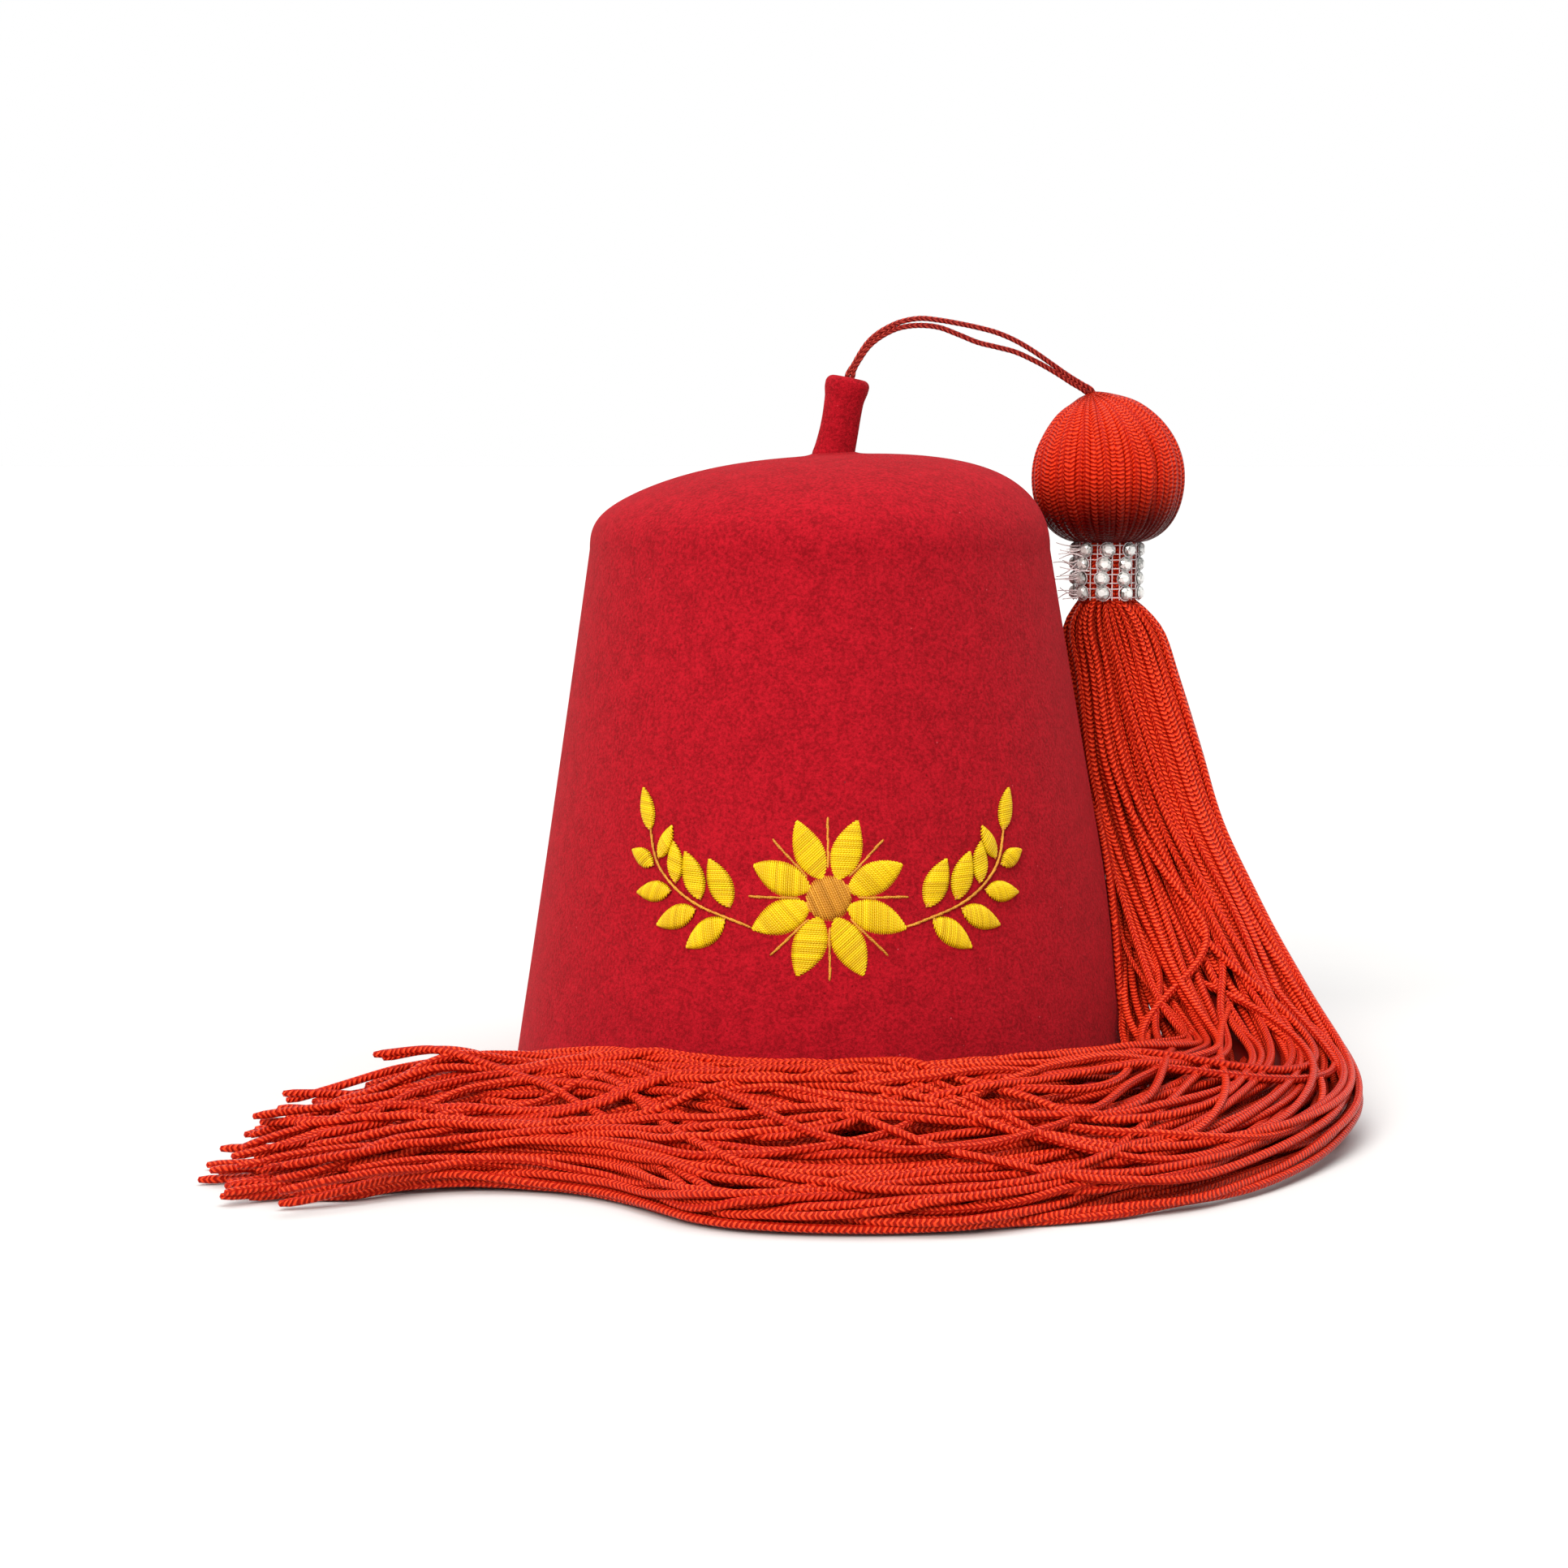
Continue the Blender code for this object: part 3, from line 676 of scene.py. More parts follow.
def tubes(paths: Array, radii: Array, sides: int, tone: Array) -> Part:
    """Round tubes along paths that have equally many points.

    Args:
        paths: The tubes' middles, by tube, point and axis.
        radii: The radius at each tube's points.
        sides: How many sides each tube has.
        tone: One tone for each tube, or one for each of its points.

    Returns:
        The tubes as one part, with U round each tube and V along it in metres.
    """
    count, points = paths.shape[:2]
    ahead = unit(np.gradient(paths, axis=1))
    steep = np.abs(ahead[:, :1, 2:]) > 0.9
    seed = np.where(steep, np.array([1.0, 0.0, 0.0]), np.array([0.0, 0.0, 1.0]))
    out = np.empty_like(paths)
    out[:, 0] = unit(np.cross(ahead[:, 0], seed[:, 0]))
    for j in range(1, points):
        dot = np.sum(out[:, j - 1] * ahead[:, j], axis=-1, keepdims=True)
        out[:, j] = unit(out[:, j - 1] - dot * ahead[:, j])
    side = np.cross(ahead, out)
    turn = once_round(sides)
    spoke = np.cos(turn)[:, None] * out[:, :, None] + np.sin(turn)[:, None] * side[:, :, None]
    body = paths[:, :, None] + radii[:, :, None, None] * spoke
    # Each end is closed by a low cone, half as tall as the tube is thick
    cap = 0.5 * radii[:, (0, -1), None] * ahead[:, (0, -1)] * np.array([[-1.0], [1.0]])
    poles = paths[:, (0, -1)] + cap
    vertices = np.concatenate([body.reshape(-1, 3), poles.reshape(-1, 3)])
    quads, triangles = ringed_faces(count, points, sides)

    along = lengths_along(paths)
    # Each tube starts its pattern at another turn and place, so that neighbours don't line up
    start = (np.arange(count) * PATTERN_TURN % 1.0)[:, None, None]
    u0 = np.broadcast_to(start + np.arange(sides) / sides, (count, points - 1, sides))
    u1 = u0 + 1 / sides
    v0, v1 = (
        np.broadcast_to(run[..., None] + start * PATTERN_SHIFT, u0.shape)
        for run in (along[:, :-1], along[:, 1:])
    )
    corners = ((u0, v0), (u1, v0), (u1, v1), (u0, v1))
    quad_uv = np.stack([np.stack(pair, axis=-1) for pair in corners], axis=-2).reshape(-1, 4, 2)
    triangle_uv = np.zeros((len(triangles), 3, 2))
    tone = np.broadcast_to(tone.reshape(count, -1), (count, points))
    tones = np.concatenate([np.repeat(tone.ravel(), sides), tone[:, (0, -1)].ravel()])
    return Part(vertices, quads, triangles, quad_uv, triangle_uv, tones)


def shell(rings: Array, start: Array, end: Array) -> Part:
    """A closed form through rings, from one middle point to another.

    Args:
        rings: The rings' points, by ring, corner and axis.
        start: The middle point before the first ring.
        end: The middle point after the last ring.

    Returns:
        The form, with its faces looking outwards.
    """
    vertices = np.concatenate([rings.reshape(-1, 3), start[None], end[None]])
    quads, triangles = ringed_faces(1, *rings.shape[:2])
    return Part.plain(vertices, quads, triangles, np.zeros(len(vertices))).outward()


def show(
    name: str,
    part: Part,
    material: bpy.types.Material,
    stands_for: tuple[str, ...] = (),
    flat: bool = False,
) -> bpy.types.Object:
    """Make a part into a piece that rides on the hat's body.

    Args:
        name: The piece's name.
        part: Its faces, round the hat's axis.
        material: Its material.
        stands_for: The solids that it replaces.
        flat: Whether its faces stay flat, as cut facets do.

    Returns:
        The piece.
    """
    mesh = bpy.data.meshes.new(name)
    corners = np.concatenate([part.quads.ravel(), part.triangles.ravel()]).astype(np.int32)
    quads, triangles = len(part.quads), len(part.triangles)
    starts = np.concatenate([4 * np.arange(quads), 4 * quads + 3 * np.arange(triangles)])
    mesh.vertices.add(len(part.vertices))
    mesh.vertices.foreach_set("co", (part.vertices + HAT_AXIS).astype(np.float32).ravel())
    mesh.loops.add(len(corners))
    mesh.loops.foreach_set("vertex_index", corners)
    mesh.polygons.add(quads + triangles)
    mesh.polygons.foreach_set("loop_start", starts.astype(np.int32))
    mesh.update(calc_edges=True)
    uv = np.concatenate([part.quad_uv.reshape(-1, 2), part.triangle_uv.reshape(-1, 2)])
    mesh.uv_layers.new(name="cord").uv.foreach_set("vector", uv.astype(np.float32).ravel())
    values = mesh.attributes.new("tone", "FLOAT", "POINT")
    values.data.foreach_set("value", part.tone.astype(np.float32))
    if flat:
        mesh.shade_flat()
    else:
        mesh.shade_smooth()
    mesh.materials.append(material)
    piece = bpy.data.objects.new(name, mesh)
    bpy.context.scene.collection.objects.link(piece)
    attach(piece, "root")
    if stands_for:
        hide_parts(*stands_for)
    log.info("%s: %d faces", name, quads + triangles)
    return piece


@dataclass(frozen=True)
class HatForm:
    """The named sizes that the hat's pieces share, and the forms that follow from them."""

    rim_width: float = 0.168
    rim_depth: float = 0.200
    shoulder_width: float = 0.1216
    shoulder_depth: float = 0.146
    shoulder_height: float = 0.141
    crown_height: float = 0.1655
    felt: float = 0.0022
    waist: float = 0.0004
    lean: float = 0.0021
    slant: float = 0.056
    dome_power: float = 2.4
    fade_power: float = 8.0
    stem_diameter: float = 0.0107
    stem_length: float = 0.0205
    stem_lean: float = math.radians(11.5)
    stem_offset: float = 0.0015
    head_diameter: float = 0.041
    head_rise: float = 0.0230
    head_drop: float = 0.0170
    head_above_shoulder: float = 0.0185
    head_back: float = 0.021
    head_tuck: float = 0.0032
    head_tilt: float = math.radians(12.0)
    neck_diameter: float = 0.0156
    net_height: float = 4 * 0.0039
    clearance: float = 0.0003

    def middle(self, height: Values) -> Values:
        """How far the felt's middle has leaned along X at a height."""
        return -self.lean * np.minimum(height / self.shoulder_height, 1.0)

    def halves(self, height: Values) -> tuple[Values, Values]:
        """Read the wall's outer size.

        Args:
            height: A height up to the shoulder.

        Returns:
            The half width and the half depth there.
        """
        share = np.minimum(height / self.shoulder_height, 1.0)
        waist = self.waist * 4 * share * (1 - share)
        half_width = (self.rim_width + (self.shoulder_width - self.rim_width) * share) / 2 - waist
        half_depth = (self.rim_depth + (self.shoulder_depth - self.rim_depth) * share) / 2 - waist
        return half_width, half_depth

    def wall(self, height: Array, angle: Array, inset: Values) -> Array:
        """Points of the wall.

        Args:
            height: Their heights.
            angle: Their angles round the axis.
            inset: How far inside the outer face they lie.

        Returns:
            The points, round the hat's axis.
        """
        half_width, half_depth = self.halves(height)
        x = self.middle(height) + (half_width - inset) * np.cos(angle)
        y = (half_depth - inset) * np.sin(angle)
        return spread(x, y, height)

    def dome_height(self, share: Array, x: Array, inset: float) -> Array:
        """Read the top's height.

        Args:
            share: The share of the way from its middle to the shoulder.
            x: The place across, which tells how far the slant lifts it.
            inset: How far inside the outer face it is read.

        Returns:
            The height.
        """
        full = self.crown_height - inset - self.shoulder_height
        rise = full * (1 - share**self.dome_power) ** (1 / self.dome_power)
        return self.shoulder_height + rise + self.slant * x * (1 - share**self.fade_power)

    def dome(self, share: Array, angle: Array, inset: float) -> Array:
        """Points of the domed top.

        Args:
            share: The shares of the way from its middle to the shoulder.
            angle: The angles round the axis.
            inset: How far inside the outer face they lie.

        Returns:
            The points, round the hat's axis.
        """
        x = (self.shoulder_width / 2 - inset) * share * np.cos(angle)
        y = (self.shoulder_depth / 2 - inset) * share * np.sin(angle)
        height = self.dome_height(share, x, inset)
        return spread(x - self.lean, y, height)

    def stem_axis(self) -> tuple[Array, Array]:
        """Find the stem.

        Returns:
            Its foot on the top, and the way that it leans.
        """
        across = self.stem_offset + self.lean
        share = np.array(across / (self.shoulder_width / 2))
        foot = np.array([self.stem_offset, 0.0, float(self.dome_height(share, across, 0.0))])
        return foot, np.array([math.sin(self.stem_lean), 0.0, math.cos(self.stem_lean)])

    def head_middle(self) -> Array:
        """The middle of the tassel's head."""
        x = self.shoulder_width / 2 - self.lean + self.head_diameter / 2 - self.head_tuck
        return np.array([x, self.head_back, self.shoulder_height + self.head_above_shoulder])

    def head_up(self) -> Array:
        """The way the tassel's head points, tilted towards the stem."""
        return np.array([-math.sin(self.head_tilt), 0.0, math.cos(self.head_tilt)])


class SoftLight(NamedTuple):
    """One soft light that faces the hat from far off.

    place is the way to it from the hat's axis, spread how wide it looks from there in degrees, and
    power is in watts for each square metre.
    """

    name: str
    place: tuple[float, float, float]
    spread: float
    power: float
    tint: str


LIGHTS = (
    SoftLight(name="key", place=(-0.42, -0.80, 0.74), spread=34.0, power=3.05, tint="#fffaf3"),
    SoftLight(name="top", place=(0.10, 0.12, 1.00), spread=60.0, power=2.4, tint="#ffffff"),
)


@dataclass
class Studio:
    """The camera at the photo's angle, a pale floor and soft light."""

    # The focal length over the frame's width, matched to the ovals and edges in the photo
    focal_share: float = 3952 / 1932
    sensor: float = 36.0
    distance: float = 0.850
    height: float = 0.167
    aside: float = -0.01161
    pitch: float = math.radians(5.952)
    backdrop_top: float = 0.22
    ceiling_from: float = 0.55
    ceiling: float = 0.42
    floor_size: float = 60.0
    floor_gap: float = 0.0002

    def build(self) -> None:
        """Set up the camera, the floor, the lights and the surrounding light."""
        scene = bpy.context.scene
        scene.view_settings.view_transform = "Standard"
        lens = bpy.data.cameras.new("camera")
        lens.sensor_width = self.sensor
        lens.lens = self.focal_share * self.sensor
        lens.clip_start, lens.clip_end = 0.01, 50.0
        camera = bpy.data.objects.new("camera", lens)
        camera.location = HAT_AXIS + np.array([self.aside, -self.distance, self.height])
        camera.rotation_euler = (math.pi / 2 - self.pitch, 0.0, 0.0)
        scene.collection.objects.link(camera)
        scene.camera = camera

        half = self.floor_size / 2
        mesh = bpy.data.meshes.new("floor")
        corners = [(-half, -half), (half, -half), (half, half), (-half, half)]
        mesh.from_pydata([(x, y, -self.floor_gap) for x, y in corners], [], [(0, 1, 2, 3)])
        mesh.materials.append(MattPaper().make())
        floor = bpy.data.objects.new("floor", mesh)
        scene.collection.objects.link(floor)
        floor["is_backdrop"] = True

        world = bpy.data.worlds.new("surround")
        world.use_nodes = True
        tree = world.node_tree
        way = add_node(tree, "ShaderNodeTexCoord").outputs["Generated"]
        axes = add_node(tree, "ShaderNodeSeparateXYZ", {0: way})
        # A white backdrop as far up as the camera looks, and a dimmer ceiling over it
        level = add_node(
            tree,
            "ShaderNodeMapRange",
            {
                "Value": axes.outputs["Z"],
                "From Min": self.backdrop_top,
                "From Max": self.ceiling_from,
                "To Min": 1.0,
                "To Max": self.ceiling,
            },
        )
        tree.links.new(level.outputs["Result"], tree.nodes["Background"].inputs["Strength"])
        tree.nodes["Background"].inputs["Color"].default_value = linear("#ffffff")
        scene.world = world
        for light in LIGHTS:
            lamp = bpy.data.lights.new(light.name, "SUN")
            lamp.angle = math.radians(light.spread)
            lamp.energy = light.power
            lamp.color = linear(light.tint)[:3]
            stand = bpy.data.objects.new(light.name, lamp)
            stand.location = HAT_AXIS + np.array(light.place)
            stand.rotation_euler = Vector(light.place).to_track_quat("Z", "Y").to_euler()
            scene.collection.objects.link(stand)


class Arch(NamedTuple):
    """One place of the two strands that carry the tassel.

    reach is the share of the way from the stem's mouth to the head's. upper and lower are how high
    each strand's middle runs there above the straight line between the two mouths.
    """

    reach: float
    upper: float
    lower: float


ARCHES = (
    Arch(reach=0.020, upper=0.0049, lower=0.0013),
    Arch(reach=0.045, upper=0.0078, lower=0.0043),
    Arch(reach=0.080, upper=0.0107, lower=0.0079),
    Arch(reach=0.130, upper=0.0132, lower=0.0110),
    Arch(reach=0.200, upper=0.0155, lower=0.0136),
    Arch(reach=0.280, upper=0.0167, lower=0.0148),
    Arch(reach=0.360, upper=0.0166, lower=0.0147),
    Arch(reach=0.440, upper=0.0161, lower=0.0132),
    Arch(reach=0.520, upper=0.0154, lower=0.0115),
    Arch(reach=0.600, upper=0.0144, lower=0.0106),
    Arch(reach=0.680, upper=0.0126, lower=0.0096),
    Arch(reach=0.760, upper=0.0100, lower=0.0076),
    Arch(reach=0.840, upper=0.0071, lower=0.0049),
    Arch(reach=0.910, upper=0.0046, lower=0.0022),
    Arch(reach=0.965, upper=0.0028, lower=0.0003),
)


@dataclass
class HangerStrands:
    """The two stiff braided strands that arch from the stem's socket to the tassel's head."""

    form: HatForm
    diameter: float = 0.0014
    spread: float = 0.0020
    swing_power: float = 1.4
    socket_depth: float = 0.0045
    end_gap: float = 0.0008
    parts_from: float = 0.30
    parts_to: float = 0.82
    parting: float = 0.12
    braid_pitch: float = 1.5 * MM
    bulge: float = 0.05
    tone: float = 0.15
    path_step: int = 4
    points: int = 260
    sides: int = 14

    def places(self, rises: list[float], side: int) -> Array:
        """The places that one strand passes through.

        Args:
            rises: Its heights above the straight line at the arches.
            side: 1 for the strand on the outside of the bends, and -1 for the one on their inside.

        Returns:
            The places, from the end in the stem to the end in the head.
        """
        foot, stem_up = self.form.stem_axis()
        stem_mouth = foot + stem_up * self.form.stem_length
        head_mouth = self.form.head_middle() + self.form.head_up() * self.form.head_rise
        offset = np.array([side * self.spread / 2, 0.0, 0.0])
        inside = self.socket_depth - self.end_gap
        rows = [stem_mouth - stem_up * inside - offset, stem_mouth - offset]
        for arch, rise in zip(ARCHES, rises):
            place = stem_mouth + (head_mouth - stem_mouth) * arch.reach
            swing = arch.reach**self.swing_power
            place[1] = stem_mouth[1] + (head_mouth[1] - stem_mouth[1]) * swing
            place[2] += rise
            rows.append(place)
        rows += [head_mouth + offset, head_mouth - self.form.head_up() * inside + offset]
        return np.array(rows)

    def drawn_together(self, upper: Array, lower: Array) -> tuple[Array, Array]:
        """Let the strands touch along their way, apart from the stretch where they part.

        Args:
            upper: The outer strand's path.
            lower: The inner strand's path.

        Returns:
            Both paths.
        """
        share = np.linspace(0, 1, len(upper))
        parted = smooth((share - self.parts_from) / self.parting)
        parted = parted * smooth((self.parts_to - share) / self.parting)
        middle, apart = (upper + lower) / 2, (upper - lower) / 2
        reach = np.linalg.norm(apart, axis=-1)
        touching = self.diameter * 0.5
        wanted = touching + (reach - touching) * parted
        half = apart * (wanted / reach)[:, None]
        return middle + half, middle - half

    def build(self) -> None:
        finish = KnittedRayon(
            name="dark red braided rayon",
            crest="#c4463a",
            valley="#68090c",
            shade="#6e0e12",
            stitch=self.braid_pitch,
            slant=0.9,
            relief=0.3 * MM,
            roughness=0.5,
        ).make()
        drawn = []
        for strand, side in (("upper", 1), ("lower", -1)):
            marks = self.places([getattr(arch, strand) for arch in ARCHES], side)
            drawn.append(through(marks, np.linspace(0, len(marks) - 1, self.points)))
        paths = self.drawn_together(*drawn)
        for name, path in zip(("hanger_strand_upper", "hanger_strand_lower"), paths):
            along = lengths_along(path)
            # The plaits swell and sink a little along the strand
            wave = 1 + self.bulge * np.sin(2 * np.pi * along / self.braid_pitch)
            radii = self.diameter / 2 * wave
            part = tubes(path[None], radii[None], self.sides, np.array([self.tone]))
            piece = show(f"{name}_braid", part, finish, (name,))


@dataclass
class FeltCrown:
    """The blocked felt crown: its outside with the rise at the stem, its cut rim and its inside."""

    form: HatForm
    sides: int = 208
    wall_rows: int = 64
    inner_rows: int = 26
    middle_rows: int = 26
    outer_rows: int = 44
    # The top's rows are even up to this share of the way to the shoulder, from the first one on
    first_share: float = 0.012
    even_share: float = 0.30
    bend_rows: int = 6
    # From there they crowd together towards the shoulder by this power
    crowding: float = 2.4
    ripple: float = 0.30 * MM
    rim_round: float = 0.85 * MM
    fillet_height: float = 0.55 * MM
    fillet_reach: float = 1.1 * MM

    def waves(self, points: Array) -> Array:
        """Push points in and out a little, as felt that was pulled over a block by hand.

        Args:
            points: Points of the felt, round the hat's axis.

        Returns:
            The same points, moved in plan.
        """
        rng = np.random.default_rng(11)
        angle = np.arctan2(points[..., 1], points[..., 0])
        height = points[..., 2] / self.form.crown_height
        push = np.zeros_like(angle)
        for lobes in (2, 3, 4, 5, 7, 9):
            phase, tilt = rng.uniform(0, 2 * np.pi, 2)
            around = np.sin(lobes * angle + phase + 1.3 * height)
            push += around * np.cos(2.1 * lobes / 3 * height + tilt)
        plan = np.linalg.norm(points[..., :2], axis=-1)
        share = smooth(plan / 0.05) * smooth(points[..., 2] / 0.02)
        moved = points.copy()
        moved[..., :2] += unit(points[..., :2]) * (push * share * self.ripple / 2)[..., None]
        return moved

    def raised(self, points: Array) -> Array:
        """Lift the felt round the stem's foot, where the two are felted together.

        Args:
            points: Points of the top, round the hat's axis.

        Returns:
            The same points, lifted.
        """
        foot, _ = self.form.stem_axis()
        radius = self.form.stem_diameter / 2 + 0.4 * MM
        gap = np.linalg.norm(points[..., :2] - foot[:2], axis=-1) - radius
        lifted = points.copy()
        lifted[..., 2] += self.fillet_height * np.exp(-np.maximum(gap, 0) / self.fillet_reach)
        return lifted

    def crowded(self, rows: int) -> Array:
        """Shares between 0 and 1 that crowd together towards 1."""
        return 1 - (1 - np.linspace(0, 1, rows)[1:-1]) ** self.crowding

    def build(self) -> None:
        """Build the crown over its solid."""
        form = self.form
        angle = once_round(self.sides)
        near = np.linspace(self.first_share, self.even_share, self.middle_rows)
        far = self.even_share + (1 - self.even_share) * self.crowded(self.outer_rows)
        shares = np.concatenate([near, far])[:, None]
        top = self.raised(form.dome(shares, angle, 0.0))
        lowest = 1.2 * self.rim_round
        down = np.linspace(form.shoulder_height, lowest, self.wall_rows)[:, None]
        wall = form.wall(down, angle, 0.0)
        bend = np.linspace(0, np.pi / 2, self.bend_rows)[:, None]
        rise = self.rim_round * (1 - np.sin(bend))
        inset = self.rim_round * (1 - np.cos(bend))
        outer_edge = form.wall(rise, angle, inset)
        inner_edge = form.wall(rise[::-1], angle, form.felt - inset[::-1])
        up = np.linspace(lowest, form.shoulder_height, self.inner_rows)[:, None]
        inside = form.wall(up, angle, form.felt)
        ceiling = form.dome(self.crowded(self.inner_rows)[::-1, None], angle, form.felt)
        rings = self.waves(np.concatenate([top, wall, outer_edge, inner_edge, inside, ceiling]))
        zero = np.array(0.0)
        start = self.raised(form.dome(zero, zero, 0.0))
        end = form.dome(zero, zero, form.felt)
        show("crown_felt", shell(rings, start, end), WoolFelt().make(), ("crown",))


@dataclass
class FeltStem:
    """The leaning stub of rolled felt, with a rounded lip and a dent for the strands."""

    form: HatForm
    sides: int = 56
    sunk: float = 2.2 * MM
    foot_flare: float = 0.3 * MM
    foot_reach: float = 1.2 * MM
    lip: float = 0.42 * MM
    rounding: float = 1.9 * MM
    waist: float = 0.25 * MM
    dent: float = 0.55 * MM
    lump: float = 0.14 * MM

    def radius(self, along: Array) -> Array:
        """Read the stub's radius below the rounded lip.

        Args:
            along: Distances up its axis.

        Returns:
            The radius at each.
        """
        length = self.form.stem_length
        foot = self.foot_flare * np.exp(-np.maximum(along, 0) / self.foot_reach)
        waist = -self.waist * np.sin(np.pi * np.clip(along / length, 0, 1)) ** 2
        lip = self.lip * smooth((along - 0.70 * length) / (0.16 * length))
        return self.form.stem_diameter / 2 + foot + waist + lip

    def build(self) -> None:
        """Build the stub over its solid."""
        form = self.form
        foot, up = form.stem_axis()
        back = np.array([0.0, 1.0, 0.0])
        right = np.cross(back, up)
        angle = once_round(self.sides)
        along = np.linspace(-self.sunk, form.stem_length - self.rounding, 40)
        radii = self.radius(along)
        bend = np.linspace(0, np.pi / 2, 9)[1:]
        along = np.concatenate([along, form.stem_length - self.rounding * (1 - np.sin(bend))])
        radii = np.concatenate([radii, radii[-1] - self.rounding * (1 - np.cos(bend))])
        inwards = np.linspace(1, 0, 10)[1:-1]
        dent = self.dent * smooth(1 - inwards)
        along = np.concatenate([along, form.stem_length - dent])
        radii = np.concatenate([radii, radii[-1] * inwards])
        rng = np.random.default_rng(5)
        lumps = np.zeros((len(along), self.sides))
        for lobes in (1, 2, 3, 5):
            phase, climb = rng.uniform(0, 2 * np.pi), rng.uniform(150, 420)
            lumps += np.sin(lobes * angle[None] + phase + climb * along[:, None])
        reach = radii[:, None] * (1 + self.lump / form.stem_diameter * lumps)
        spoke = np.cos(angle)[:, None] * right + np.sin(angle)[:, None] * back
        rings = foot + along[:, None, None] * up + reach[..., None] * spoke[None]
        start = foot - up * self.sunk
        end = foot + up * (form.stem_length - self.dent)
        felt = WoolFelt(name="rolled wool felt", mottle_size=3.5 * MM, speck_spacing=2.2 * MM)
        show("stem_felt", shell(rings, start, end), felt.make(), ("stem",))


class Thread(Enum):
    """The two colours of embroidery floss."""

    YELLOW = "yellow"
    GOLD = "gold"


class Leaf(NamedTuple):
    """One leaf: foot and size in millimetres, heading in degrees from straight right."""

    across: float
    up: float
    heading: float
    length: float
    width: float


# The right half of the spray; the left half is its mirror image
LEAVES = (
    Leaf(across=24.0, up=57.5, heading=60, length=12.5, width=6.4),
    Leaf(across=25.5, up=54.3, heading=-38, length=12.0, width=6.0),
    Leaf(across=32.0, up=58.9, heading=64, length=12.0, width=6.0),
    Leaf(across=33.5, up=56.2, heading=-24, length=11.5, width=5.6),
    Leaf(across=39.3, up=62.4, heading=80, length=9.6, width=4.8),
    Leaf(across=41.0, up=60.2, heading=-8, length=10.5, width=5.0),
    Leaf(across=45.0, up=67.8, heading=112, length=8.4, width=4.2),
    Leaf(across=47.0, up=66.0, heading=20, length=8.0, width=4.4),
    Leaf(across=48.8, up=74.4, heading=68, length=10.5, width=4.8),
)
# The stalk that the leaves grow from, as millimetres across and up
STALK = ((18.5, 52.8), (25.0, 54.8), (33.0, 57.4), (40.2, 61.4), (46.0, 67.0), (48.8, 74.4))


